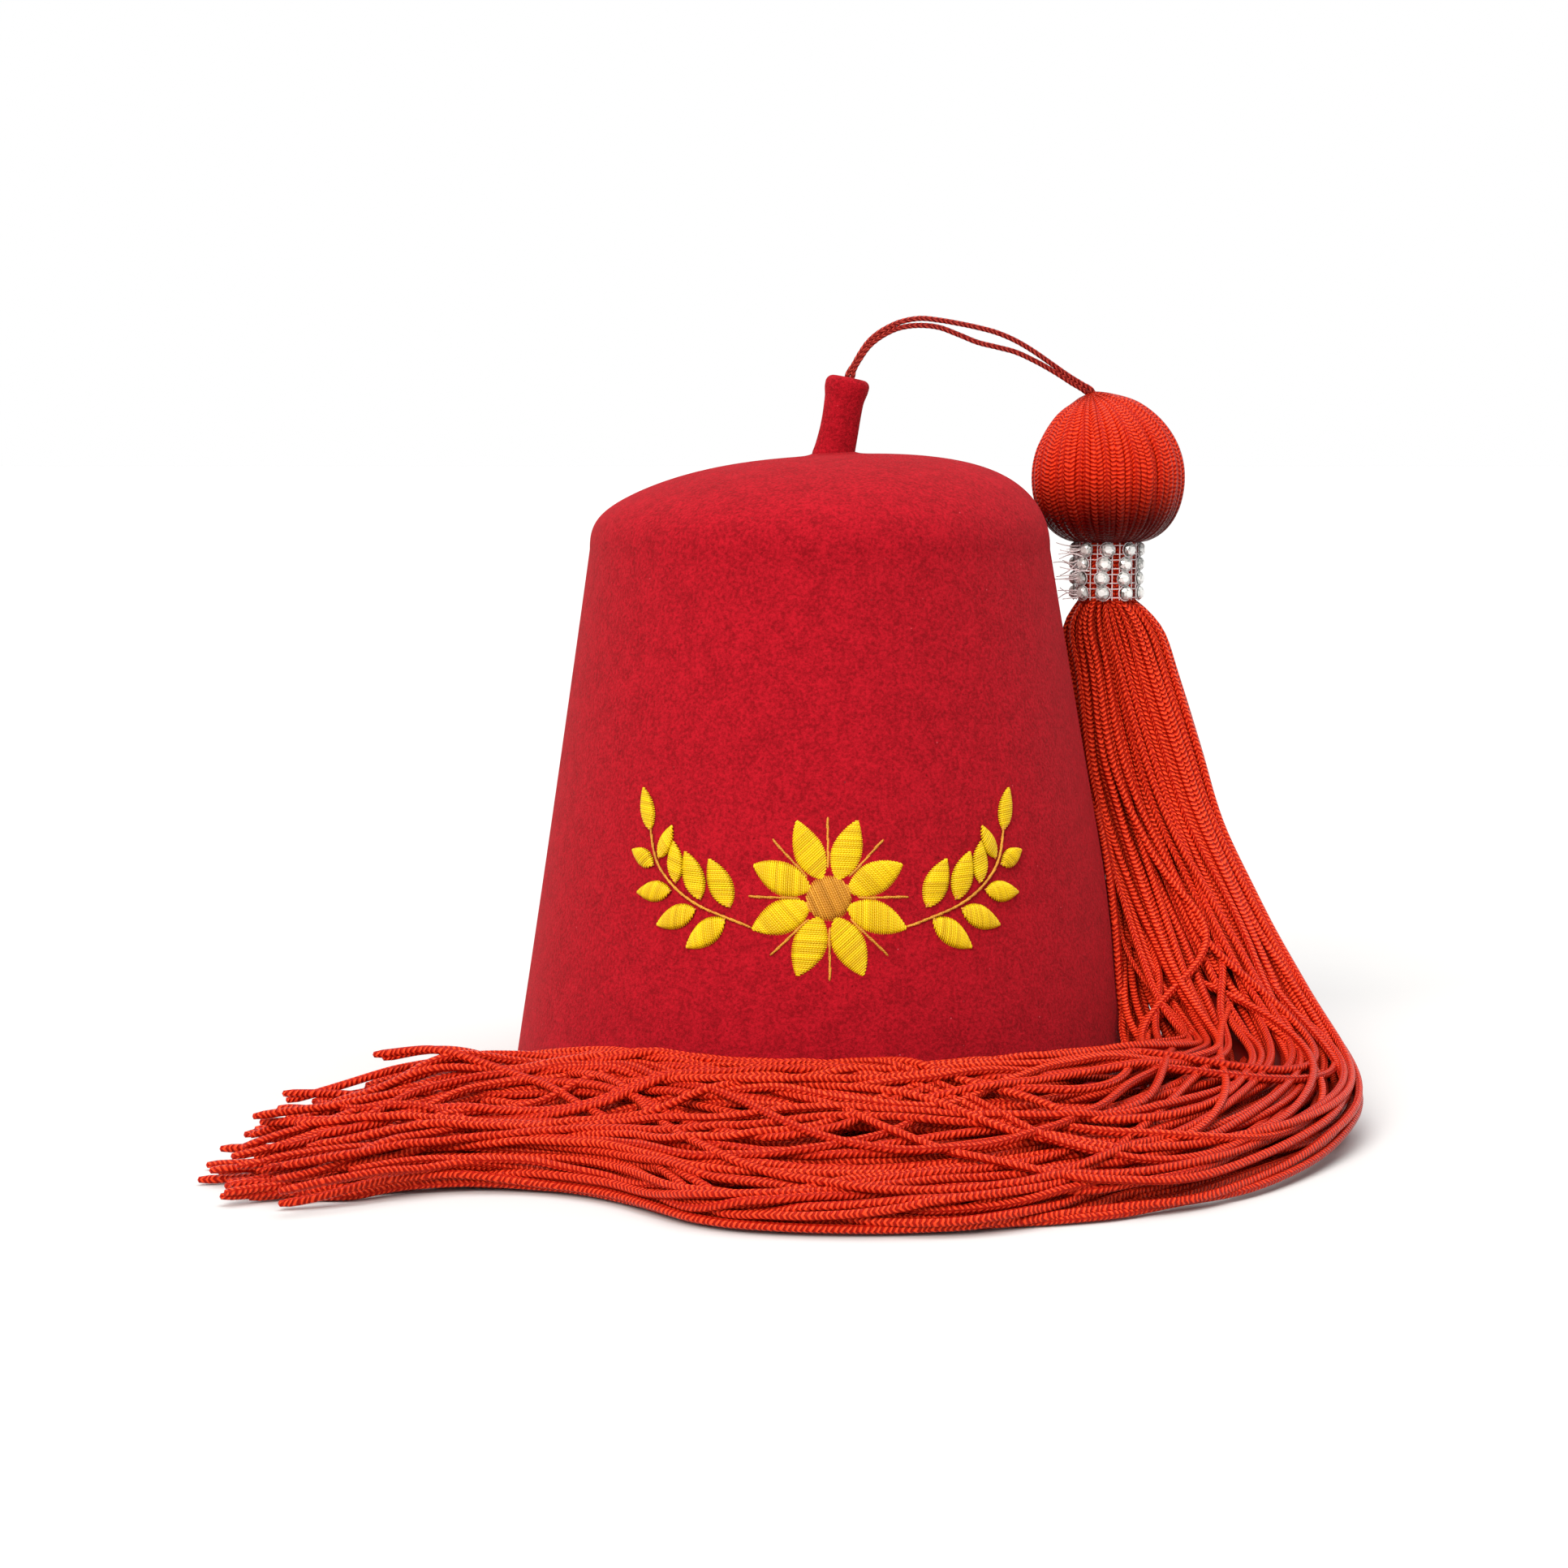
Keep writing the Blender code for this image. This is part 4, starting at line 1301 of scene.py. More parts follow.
@dataclass
class FrontEmbroidery:
    """The hand embroidery on the front: an eight-petalled rosette between two leafy sprays."""

    form: HatForm
    level: float = 0.062
    rosette_up: float = 60.0
    petals: int = 8
    petal_length: float = 15.0
    petal_width: float = 8.2
    heart: float = 5.4
    heart_turn: float = 24.0
    ray_end: float = 19.4
    # Floss is about 0.35 mm wide where it lies: drawn a little wider, so that each stitch shows
    pitch: float = 0.52
    floss: float = 0.29 * MM
    padding: float = 0.85 * MM
    steps: int = 8
    stitches: dict[Thread, list[Array]] = field(
        default_factory=lambda: {Thread.YELLOW: [], Thread.GOLD: []}
    )

    def on_front(self, across: Array, up: Array, lift: Array) -> Array:
        """Points over the front of the wall.

        Args:
            across: Millimetres along the wall from its middle, to the right.
            up: Millimetres above the rim.
            lift: How far they stand off the felt.

        Returns:
            The points, round the hat's axis.
        """
        half_width, half_depth = self.form.halves(self.level)
        turn = np.linspace(-1.2, 1.2, 400)
        line = np.stack([half_width * np.sin(turn), -half_depth * np.cos(turn)], axis=-1)
        run = lengths_along(line)
        run = run - np.interp(0.0, turn, run)
        angle = np.interp(across * MM, run, turn) - np.pi / 2
        height = up * MM
        base = self.form.wall(height, angle, 0.0)
        above = self.form.wall(height + MM, angle, 0.0)
        beside = self.form.wall(height, angle + 0.01, 0.0)
        normal = unit(np.cross(beside - base, above - base))
        return base + normal * lift[..., None]

    def lay(self, thread: Thread, starts: Array, ends: Array, arch: Array, base: float) -> None:
        """Lay straight stitches over the felt.

        Args:
            thread: Their colour.
            starts: Where each one comes up, in millimetres across and up.
            ends: Where each one goes down.
            arch: How high each one stands in its middle.
            base: How far the floss's middle lies off the felt at its ends.
        """
        share = np.linspace(0, 1, self.steps)
        flat = starts[:, None] + (ends - starts)[:, None] * share[None, :, None]
        lift = base + arch[:, None] * np.sqrt(np.clip(4 * share * (1 - share), 0, 1))[None]
        self.stitches[thread].append(self.on_front(flat[..., 0], flat[..., 1], lift))

    def half_width(self, share: Array, width: float) -> Array:
        """Half the width of a leaf or petal at a share of its length."""
        return width / 2 * np.sin(np.pi * share**0.85) ** 0.75

    def satin(
        self, thread: Thread, foot: Array, heading: float, length: float, width: float, slant: float
    ) -> None:
        """Fill one leaf or petal with slanting satin stitches that pass right over it.

        Args:
            thread: The floss's colour.
            foot: The shape's foot, in millimetres across and up.
            heading: The way it points, in degrees from straight right.
            length: Its length in millimetres.
            width: Its greatest width in millimetres.
            slant: How far along the shape a stitch runs for each millimetre that it runs across.
        """
        ahead = toward(heading)
        aside = np.array([-ahead[1], ahead[0]])
        share = np.linspace(0.02, 0.98, max(6, round(length / self.pitch)))
        along, half = share * length, self.half_width(share, width)
        edges = []
        for side in (1, -1):
            place = np.clip(along - side * slant * half, 0, length)
            reach = self.half_width(np.clip(place / length, 0, 1), width)
            edges.append(foot + place[:, None] * ahead + side * reach[:, None] * aside)
        arch = self.padding * (0.35 + 0.65 * np.sin(np.pi * share))
        self.lay(thread, *edges, arch, 0.08 * MM)

    def line(self, thread: Thread, points: Array, stitch: float, lap: float) -> None:
        """Lay overlapping outline stitches along a line.

        Args:
            thread: The floss's colour.
            points: The line, in millimetres across and up.
            stitch: The length of one stitch.
            lap: The share of a stitch that the next one lies beside.
        """
        run = lengths_along(points)
        marks = np.arange(0, run[-1] - stitch * 0.5, stitch * (1 - lap))
        first = np.stack([np.interp(marks, run, points[:, i]) for i in (0, 1)], axis=-1)
        last = np.stack([np.interp(marks + stitch, run, points[:, i]) for i in (0, 1)], axis=-1)
        ahead = unit(last - first)
        aside = np.stack([-ahead[:, 1], ahead[:, 0]], axis=-1) * 0.14
        arch = np.full(len(marks), 0.22 * MM)
        self.lay(thread, first + aside, last - aside, arch, 0.2 * MM)

    def rosette(self) -> None:
        """Lay the rosette: yellow petals, a gold outline between them and a gold heart."""
        centre = np.array([0.0, self.rosette_up])
        for k in range(self.petals):
            heading = 360 * (k + 0.5) / self.petals
            foot = centre + (self.heart - 0.6) * toward(heading)
            self.satin(Thread.YELLOW, foot, heading, self.petal_length, self.petal_width, 0.35)
            spoke = toward(360 * k / self.petals)
            ray = np.array([centre + spoke * (self.heart + 1.4), centre + spoke * self.ray_end])
            self.line(Thread.GOLD, ray, 4.8, 0.35)
        share = np.linspace(-0.97, 0.97, round(2 * self.heart / self.pitch))
        half = self.heart * np.sqrt(1 - share**2)
        rows = np.stack([share * self.heart, half], axis=-1)
        way = toward(self.heart_turn)
        spin = np.array([way, [-way[1], way[0]]])
        starts = centre + rows @ spin
        ends = centre + (rows * np.array([1.0, -1.0])) @ spin
        self.lay(Thread.GOLD, starts, ends, 1.1 * self.padding * np.sqrt(1 - share**2), 0.3 * MM)

    def sprays(self) -> None:
        """Lay the two leafy sprays, with their stalks and a knot beside each leaf's foot."""
        stalk = through(np.array(STALK), np.linspace(0, len(STALK) - 1, 60))
        for side in (1, -1):
            mirror = np.array([side, 1.0])
            self.line(Thread.GOLD, stalk * mirror, 3.6, 0.4)
            for leaf in LEAVES:
                foot = np.array([leaf.across, leaf.up]) * mirror
                heading = leaf.heading if side > 0 else 180 - leaf.heading
                self.satin(Thread.YELLOW, foot, heading, leaf.length, leaf.width, 0.5 * side)
                ahead = toward(heading)
                vein = np.array([foot - ahead * 0.4, foot + ahead * 1.6])
                self.line(Thread.GOLD, vein, 2.0, 0.0)

    def build(self) -> None:
        """Lay every stitch and show one piece for each colour."""
        self.rosette()
        self.sprays()
        rng = np.random.default_rng(3)
        for thread, lit, shaded in (
            (Thread.YELLOW, "#e8c600", "#b98a00"),
            (Thread.GOLD, "#d2922a", "#9c6010"),
        ):
            finish = EmbroideryFloss(f"{thread.value} rayon floss", lit=lit, shaded=shaded)
            paths = np.concatenate(self.stitches[thread])
            count, points = paths.shape[:2]
            ends = np.minimum(np.arange(points), np.arange(points)[::-1])
            taper = np.where(ends == 0, 0.62, 1.0)
            size = rng.uniform(0.88, 1.1, count)
            radii = self.floss * size[:, None] * taper[None]
            tone = rng.uniform(0.0, 0.55, count)
            part = tubes(paths, radii, 6, tone)
            show(f"embroidery_{thread.value}", part, finish.make())


@dataclass
class TasselHead:
    """The round head: cords side by side over a core, gathered into a dimple for the strands."""

    form: HatForm
    cords: int = 64
    points: int = 64
    sides: int = 8
    cord_diameter: float = 2.2 * MM
    # The angles from the top where the cords come out of the dimple and go into the neck
    first_polar: float = 7.0
    last_polar: float = 176.0
    top_power: float = 1.25
    base_power: float = 0.55
    depth: float = 0.75 * MM
    core_share: float = 0.93

    def outline(self, polar: Array) -> tuple[Array, Array]:
        """Read the head's outline.

        Args:
            polar: Angles from its top.

        Returns:
            Its radius and its height over its middle at each.
        """
        form = self.form
        upper = polar < np.pi / 2
        power = np.where(upper, self.top_power, self.base_power)
        inside = np.clip(polar, 0.01, np.pi - 0.01)
        radius = form.head_diameter / 2 * np.sin(inside) ** power
        height = np.where(upper, form.head_rise, form.head_drop) * np.cos(polar)
        return radius, height

    def leaned(self, radius: Array, turn: Array, height: Array) -> Array:
        """Points of the head, with its axis leaned towards the stem above its middle.

        Args:
            radius: How far they are from the axis.
            turn: Their angles round it.
            height: Their heights over the head's middle.

        Returns:
            The points, round the hat's axis.
        """
        lean = -self.form.head_tilt * np.maximum(height / self.form.head_rise, 0.0)
        x, y = radius * np.cos(turn), -radius * np.sin(turn)
        across = x * np.cos(lean) + height * np.sin(lean)
        up = -x * np.sin(lean) + height * np.cos(lean)
        return self.form.head_middle() + spread(across, y, up)

    def build(self) -> None:
        """Build the head's cords and the dark core, in painted shade, that shows between them."""
        rng = np.random.default_rng(21)
        polar = np.radians(np.linspace(self.first_polar, self.last_polar, self.points))
        radius, height = self.outline(polar)
        half = self.cord_diameter / 2
        spacing = 2 * np.pi * radius / self.cords
        crowding = np.log2(np.maximum(self.cord_diameter * 0.82 / spacing, 1e-6))
        order = np.array([(i & -i).bit_length() - 1 if i else 6 for i in range(self.cords)])
        # Where the ball narrows, every second cord slips under its neighbours
        sink = np.clip(crowding[None] - order[:, None], 0, 1) * 1.1 * half
        wander = rng.normal(0, 0.017, (self.cords, 5))
        aside = through(wander.T, np.linspace(0, 4, self.points)).T
        turn = once_round(self.cords)[:, None] + aside * smooth((radius - 4 * MM) / (8 * MM))
        depth = -self.depth * rng.uniform(0, 1, self.cords) ** 3
        reach = radius[None] - half * 0.9 - sink + depth[:, None]
        path = self.leaned(np.maximum(reach, 0.6 * MM), turn, height[None])
        girth = half * np.clip(spacing / self.cord_diameter * 2.1, 0.62, 1.06)
        radii = np.broadcast_to(girth, (self.cords, self.points))
        # Painted shade: the cords darken below the middle into the neck, and a little into the
        # dimple
        neck_shade = 0.92 * smooth((polar - math.radians(80)) / math.radians(56))
        dimple_shade = 0.45 * smooth((math.radians(36) - polar) / math.radians(24))
        tone = rng.uniform(0.0, 0.12, self.cords)[:, None] + neck_shade + dimple_shade
        finish = KnittedRayon(
            name="orange red knitted rayon, stretched over a core",
            crest="#e43a1a",
            valley="#9a0b05",
            shade="#4a0202",
            stitch=1.1 * MM,
            slant=0.5,
            relief=0.26 * MM,
            gleam=0.12,
        )
        cords = tubes(path, radii, self.sides, tone)
        show("tassel_head_cords", cords, finish.make(), ("tassel",))
        angle = once_round(48)
        inner = np.maximum(radius[::2] - self.cord_diameter * 0.85, 1.0 * MM)
        level, zero = self.core_share * height, np.array(0.0)
        rings = self.leaned(inner[:, None], angle[None], level[::2, None])
        start, end = (self.leaned(zero, zero, level[i]) for i in (0, -1))
        show("tassel_head_core", shell(rings, start, end), SHADED_UNDERLAY.make(), ("tassel",))


@dataclass
class TasselNeck:
    """The neck inside the net: the cords' ends, packed side by side and bound tightly."""

    form: HatForm
    cords: int = 26
    cord_diameter: float = 1.75 * MM
    run_in: float = 1.5 * MM
    points: int = 24

    def build(self) -> None:
        """Build the neck's cords round a middle in painted shade, from inside the head to inside
        the skirt.
        """
        form = self.form
        middle = form.head_middle()
        top = middle[2] - form.head_drop + self.run_in
        bottom = top - form.net_height - 2 * form.clearance - 2 * self.run_in
        height = np.linspace(top, bottom, self.points)
        reach = (form.neck_diameter - self.cord_diameter) / 2
        turn = once_round(self.cords)[:, None]
        x, y = middle[0] + reach * np.cos(turn), middle[1] + reach * np.sin(turn)
        paths = spread(x, y, height)
        inner = spread(middle[0], middle[1], height)[None]
        finish = KnittedRayon(
            name="orange red knitted rayon, bound tightly",
            crest="#e23c1c",
            valley="#8e0b05",
            shade="#5a0403",
            stitch=1.1 * MM,
            relief=0.2 * MM,
        )
        girth = np.full(paths.shape[:2], self.cord_diameter / 2)
        cords = tubes(paths, girth, 8, np.zeros(self.cords))
        # The middle takes the finish's shade colour all over: painted shade between the bound cords
        core = tubes(inner, np.full((1, self.points), reach), 32, np.ones(1))
        show("tassel_neck_cords", joined([cords, core]), finish.make(), ("tassel",))


def spiral(count: int) -> Array:
    """Fill the unit disc evenly from its middle outwards, each place a golden turn further on.

    Args:
        count: How many places.

    Returns:
        The places, one in each row.
    """
    number = np.arange(count)
    turn = math.pi * (3 - math.sqrt(5)) * number
    radius = np.sqrt((number + 0.5) / count)
    return np.stack([radius * np.cos(turn), radius * np.sin(turn)], axis=-1)


class Station(NamedTuple):
    """One section of the tassel's skirt, as in the part's source.

    side and front place the edge next to the hat, as shares of the felt wall's half width and half
    depth at that height. rise is the section's middle as a share of the neck's height, and 0 means
    that it lies on the ground. width and thickness are shares of the skirt's sizes while it hangs,
    and of the pile's sizes where it lies. heading is the way the width runs in plan, from +X. slope
    makes the side next to the hat the thicker one.
    """

    side: float
    front: float
    rise: float
    width: float
    thickness: float
    heading: float
    slope: float


STATIONS = (
    Station(side=1.010, front=0.258, rise=0.941, width=0.97, thickness=0.88, heading=0, slope=0.0),
    Station(side=1.000, front=0.214, rise=0.826, width=1.06, thickness=0.97, heading=0, slope=0.0),
    Station(side=1.008, front=0.156, rise=0.681, width=1.11, thickness=1.02, heading=0, slope=0.0),
    Station(side=1.014, front=0.069, rise=0.524, width=1.16, thickness=1.06, heading=0, slope=0.0),
    Station(side=1.014, front=-0.055, rise=0.380, width=1.31, thickness=1.10, heading=0, slope=0.0),
    Station(side=1.000, front=-0.213, rise=0.253, width=1.50, thickness=1.10, heading=0, slope=0.0),
    Station(side=0.97, front=-0.394, rise=0.151, width=1.72, thickness=1.06, heading=-3, slope=0.1),
    Station(side=0.945, front=-0.553, rise=0, width=0.745, thickness=1.06, heading=-15, slope=0.2),
    Station(side=0.869, front=-0.640, rise=0, width=0.82, thickness=1.03, heading=-36, slope=0.35),
    Station(side=0.750, front=-0.790, rise=0, width=0.88, thickness=1.02, heading=-53, slope=0.5),
    Station(side=0.595, front=-0.890, rise=0, width=1.00, thickness=1.00, heading=-68, slope=0.6),
    Station(side=0.405, front=-0.980, rise=0, width=1.03, thickness=1.00, heading=-79, slope=0.65),
    Station(side=0.179, front=-1.030, rise=0, width=1.03, thickness=1.00, heading=-86, slope=0.65),
    Station(side=-0.095, front=-1.035, rise=0, width=1.02, thickness=1.00, heading=-90, slope=0.65),
    Station(side=-0.357, front=-0.995, rise=0, width=0.96, thickness=1.00, heading=-90, slope=0.65),
    Station(side=-0.607, front=-0.885, rise=0, width=0.79, thickness=0.98, heading=-90, slope=0.6),
    Station(side=-0.857, front=-0.780, rise=0, width=0.80, thickness=0.88, heading=-90, slope=0.5),
    Station(side=-1.130, front=-0.760, rise=0, width=0.84, thickness=0.90, heading=-90, slope=0.45),
    Station(side=-1.330, front=-0.800, rise=0, width=0.88, thickness=0.84, heading=-90, slope=0.4),
)


class LooseCord(NamedTuple):
    """One short free cord: its places round the hat in degrees, and its heights in millimetres."""

    turn_above: float
    turn_below: float
    top: float
    bottom: float


LOOSE_CORDS = (
    LooseCord(turn_above=13, turn_below=-13, top=112, bottom=22),
    LooseCord(turn_above=11, turn_below=-17, top=102, bottom=27),
    LooseCord(turn_above=9, turn_below=-21, top=92, bottom=19),
    LooseCord(turn_above=12, turn_below=-9, top=107, bottom=31),
)


@dataclass
class Bundle:
    """The skirt's sections at even steps along its middle line, each as one row of an array."""

    middle: Array
    half_width: Array
    half_thickness: Array
    slope: Array
    across: Array
    up: Array
    along: Array

    @property
    def count(self) -> int:
        """How many sections there are."""
        return len(self.along)


@dataclass
class TasselSkirt:
    """The skirt of knitted cords: packed at the neck, loose at the turn, crossing where it lies."""

    form: HatForm
    skirt_width: float = 0.0295
    skirt_thickness: float = 0.0225
    pile_width: float = 0.076
    pile_thickness: float = 0.0200
    run_on: float = 0.040
    turn_share: float = 0.34
    splay: float = 4.5 * MM
    curl: float = 6.0 * MM
    core_share: float = 0.85
    core_past_turn: float = 0.03
    core_closes: float = 0.11
    cords: int = 140
    locks: int = 14
    riders: int = 15
    outer_share: float = 0.75
    # Drifts as shares of the section: a lock's, a cord's at the neck and beyond it, and a stray's
    lock_drift: float = 0.19
    tight_drift: float = 0.03
    loose_drift: float = 0.085
    stray_drift: float = 0.42
    strays: float = 0.13
    gathered: float = 0.80
    uneven_ends: float = 26 * MM
    early_ends: float = 14 * MM
    # How far up cords are drawn down to the ground, how often their bend is eased, and how far
    settling: float = 6 * MM
    easings: int = 45
    easing_share: float = 0.10
    thin: float = 0.6
    tip: float = 0.7
    cord_diameter: float = 2.05 * MM
    neck_squeeze: float = 0.58
    twist: float = math.radians(-70.0)
    lying_squareness: float = 0.78
    sections: int = 190
    points: int = 186
    sides: int = 7
    pieces: int = 4

    def bundle(self) -> Bundle:
        """Work out the skirt's sections from the stations.

        Returns:
            The sections at even steps, from the neck to a little past the last station.
        """
        form = self.form
        neck = form.head_middle() - np.array(
            [0.0, 0.0, form.head_drop + form.net_height + 2 * form.clearance]
        )
        neck_half = form.neck_diameter / 2
        rows = [[*neck, neck_half, neck_half, 0.0, 0.0]]
        for s in STATIONS:
            hanging = s.rise > 0
            half_width = s.width * (self.skirt_width if hanging else self.pile_width) / 2
            thickness = self.skirt_thickness if hanging else self.pile_thickness
            half_thick = s.thickness * thickness / 2
            level = s.rise * neck[2]
            height = level if hanging else half_thick
            wall_width, wall_depth = form.halves(level)
            way = math.radians(s.heading)
            x = float(form.middle(height) + s.side * wall_width)
            y = float(s.front * wall_depth)
            middle = [x + math.cos(way) * half_width, y + math.sin(way) * half_width, height]
            rows.append([*middle, half_width, half_thick, way, s.slope])
        marks = np.array(rows)
        onward = marks[-1].copy()
        ahead = unit(marks[-1, :3] - marks[-2, :3])
        onward[:3] += ahead * self.run_on
        onward[3] *= 1.04
        marks = np.concatenate([marks, onward[None]])
        dense = through(marks, np.linspace(0, len(marks) - 1, 1200))
        run = lengths_along(dense[:, :3])
        even = np.linspace(0, run[-1], self.sections)
        table = np.stack([np.interp(even, run, dense[:, i]) for i in range(7)], axis=-1)
        middle, way = table[:, :3], table[:, 5]
        forward = unit(np.gradient(middle, axis=0))
        forward[0] = (0.0, 0.0, -1.0)
        across = np.stack([np.cos(way), np.sin(way), np.zeros_like(way)], axis=-1)
        up = unit(np.cross(forward, across))
        return Bundle(middle, table[:, 3], table[:, 4], table[:, 6], across, up, even)

    def wander(self, rng: np.random.Generator, count: int, knots: int, sections: int) -> Array:
        """Smooth random drifts in two directions.

        Args:
            rng: The source of the randomness.
            count: How many drifts.
            knots: How many random values each one passes through.
            sections: How many sections each one is read at.

        Returns:
            The drifts, by section, drift and direction.
        """
        values = rng.normal(0, 1, (knots, count, 2))
        return through(values, np.linspace(0, knots - 1, sections))

    def targets(self, rng: np.random.Generator, share: Array) -> Array:
        """Where each cord would run in the unit disc, before the cords push each other apart.

        Args:
            rng: The source of the randomness.
            share: How far along the skirt each section is.

        Returns:
            The places, by section, cord and direction.
        """
        start, lock = spiral(self.cords), spiral(self.locks)
        own = np.argmin(np.linalg.norm(start[:, None] - lock[None], axis=-1), axis=1)
        loose = smooth((share - 0.10) / 0.35)[:, None, None]
        drift = self.wander(rng, self.locks, 7, len(share))[:, own] * self.lock_drift * loose
        reach = self.tight_drift + self.loose_drift * loose
        cord_drift = self.wander(rng, self.cords, 11, len(share)) * reach
        stray = rng.uniform(0, 1, self.cords) < self.strays
        far = self.wander(rng, self.cords, 6, len(share)) * self.stray_drift * loose
        cos, sin = np.cos(self.twist * share), np.sin(self.twist * share)
        spin = np.stack([np.stack([cos, sin], -1), np.stack([-sin, cos], -1)], axis=-2)
        gathered = lock[own] + (start - lock[own]) * self.gathered
        base = start[None] * (1 - loose) + gathered[None] * loose
        places = base + drift + cord_drift + np.where(stray[None, :, None], far, 0.0)
        places = np.einsum("snj,sjk->snk", places, spin)
        # A few cords lie over the rest and cross from side to side
        outer = np.flatnonzero(np.linalg.norm(start, axis=-1) > self.outer_share)
        over = rng.choice(outer, self.riders, replace=False)
        knots = rng.uniform(-0.95, 0.95, (7, self.riders))
        sway = np.clip(through(knots, np.linspace(0, 6, len(share))), -0.92, 0.92)
        ride = np.stack([sway, 0.97 * np.sqrt(1 - sway**2)], axis=-1)
        places[:, over] += (ride - places[:, over]) * smooth((share - 0.16) / 0.16)[:, None, None]
        reach = np.linalg.norm(places, axis=-1, keepdims=True)
        return places / np.maximum(reach, 1.0)

    def fitted(self, disc: Array, bundle: Bundle, radius: Array) -> Array:
        """Spread places of the unit disc over the sections.

        Args:
            disc: The places, by section, cord and direction.
            bundle: The skirt's sections.
            radius: The cords' radius at each section.

        Returns:
            Distances across and up from each section's middle.
        """
        lying = np.maximum(bundle.up[:, 2], 0.0) ** 2
        square = (1 + (self.lying_squareness - 1) * lying)[:, None]
        reach = np.linalg.norm(disc, axis=-1)
        way = disc / np.maximum(reach, 1e-9)[..., None]
        u = reach * np.sign(way[..., 0]) * np.abs(way[..., 0]) ** square
        v = reach * np.sign(way[..., 1]) * np.abs(way[..., 1]) ** square
        slope = bundle.slope[:, None]
        tall = v * (1 - slope * u) - slope * u
        wide = np.maximum(bundle.half_width - radius, 0.3 * MM)[:, None]
        thick = np.maximum(bundle.half_thickness - radius, 0.3 * MM)[:, None]
        return np.stack([u * wide, tall * thick], axis=-1)

    def spaced(self, wanted: Array, radius: Array) -> Array:
        """Push cords apart that would run through each other, section by section.

        Args:
            wanted: Where each cord would run, by section, cord and direction.
            radius: The cords' radius at each section.

        Returns:
            Where each cord runs.
        """
        placed = wanted.copy()
        moved = np.zeros_like(wanted[0])
        for s in range(len(wanted)):
            here = wanted[s] + moved * 0.94
            closest = 2 * radius[s] * 0.97
            for _ in range(9):
                gap = here[:, None] - here[None]
                reach = np.sqrt(np.sum(gap * gap, axis=-1)) + 1e-9
                push = np.clip(closest - reach, 0, None)
                np.fill_diagonal(push, 0.0)
                here = here + np.sum(gap / reach[..., None] * push[..., None], axis=1) * 0.42
                here = here + (wanted[s] - here) * 0.05
            placed[s] = here
            moved = here - wanted[s]
        for _ in range(3):
            placed[1:-1] = (placed[:-2] + 2 * placed[1:-1] + placed[2:]) / 4
        return placed

    def lean_on_wall(self, line: Array, placed: Array, bundle: Bundle, radius: Array) -> None:
        """Lean the hanging cords next to the hat on its wall, and keep every cord out of the felt.

        Args:
            line: Every cord's place at each section, which is changed.
            placed: The same places across and up from each section's middle.
            bundle: The skirt's sections.
            radius: The cords' radius at each section.
        """
        form = self.form
        half_width, half_depth = form.halves(line[..., 2])
        beside = np.sqrt(np.clip(1 - (line[..., 1] / half_depth) ** 2, 0.0, 1.0))
        wall = form.middle(line[..., 2]) + half_width * beside + radius[:, None] + 0.1 * MM
        across = placed[..., 0] / bundle.half_width[:, None]
        front = placed[..., 1] / bundle.half_thickness[:, None]
        inner = smooth(0.35 * front - 0.95 * across - 0.08)
        share = bundle.along / bundle.along[-1]
        ends = self.turn_share + 0.03
        hangs = (smooth((share - 0.03) / 0.08) * smooth((ends - share) / 0.05))[:, None]
        gap = np.clip(line[..., 0] - wall, 0, 7 * MM)
        line[..., 0] -= 0.9 * gap * inner * hangs
        line[..., 0] = np.where(hangs > 0, np.maximum(line[..., 0], wall), line[..., 0])

    def core(self, line: Array, bundle: Bundle) -> Part:
        """The inside of the hanging cords, where they lie too deep to be told apart, as a dark form
        in painted shade.

        Args:
            line: Every cord's place at each section.
            bundle: The skirt's sections.

        Returns:
            A form well inside the outer cords, which closes where they turn.
        """
        last = int((self.turn_share + self.core_past_turn) * bundle.count)
        closes = smooth((last - np.arange(bundle.count)) / (self.core_closes * last))[:, None, None]
        middle = line.mean(axis=1)
        around = line - middle[:, None]
        turn = once_round(24)[None, :, None]
        rings = middle[:, None]
        for way, spoke in ((bundle.across, np.cos(turn)), (bundle.up, np.sin(turn))):
            reach = np.einsum("snj,sj->sn", around, way).std(axis=1)[:, None, None]
            rings = rings + self.core_share * closes * reach * spoke * way[:, None]
        return shell(rings[2:last], middle[1], middle[last])

    def routes(self) -> tuple[Array, Array, Part]:
        """Work out every cord's route and radius.

        Returns:
            The routes, by cord, point and axis, the radius at each point, and the inside in painted
            shade.
        """
        rng = np.random.default_rng(41)
        bundle = self.bundle()
        share = bundle.along / bundle.along[-1]
        full = self.cord_diameter / 2
        open_up = smooth(share / 0.075)
        radius = full * (self.neck_squeeze + (1 - self.neck_squeeze) * open_up)
        wanted = self.fitted(self.targets(rng, share), bundle, radius)
        placed = self.spaced(wanted, radius)
        line = (
            bundle.middle[:, None]
            + bundle.across[:, None] * placed[..., :1]
            + bundle.up[:, None] * placed[..., 1:]
        )
        self.lean_on_wall(line, placed, bundle, radius)
        # The turn from hanging to lying is an easy bend, not a fold
        ease = np.exp(-(((share - self.turn_share) / self.easing_share) ** 2))[1:-1, None, None]
        for _ in range(self.easings):
            line[1:-1] += ease * (line[:-2] - 2 * line[1:-1] + line[2:]) / 4
        # Cords that lie low settle on the ground
        over = np.clip(line[..., 2] - radius[:, None], 0, None)
        settled = np.where(over < self.settling, over**2 / self.settling, over)
        lies = smooth((share - self.turn_share) / 0.08)[:, None]
        line[..., 2] = radius[:, None] + over * (1 - lies) + settled * lies
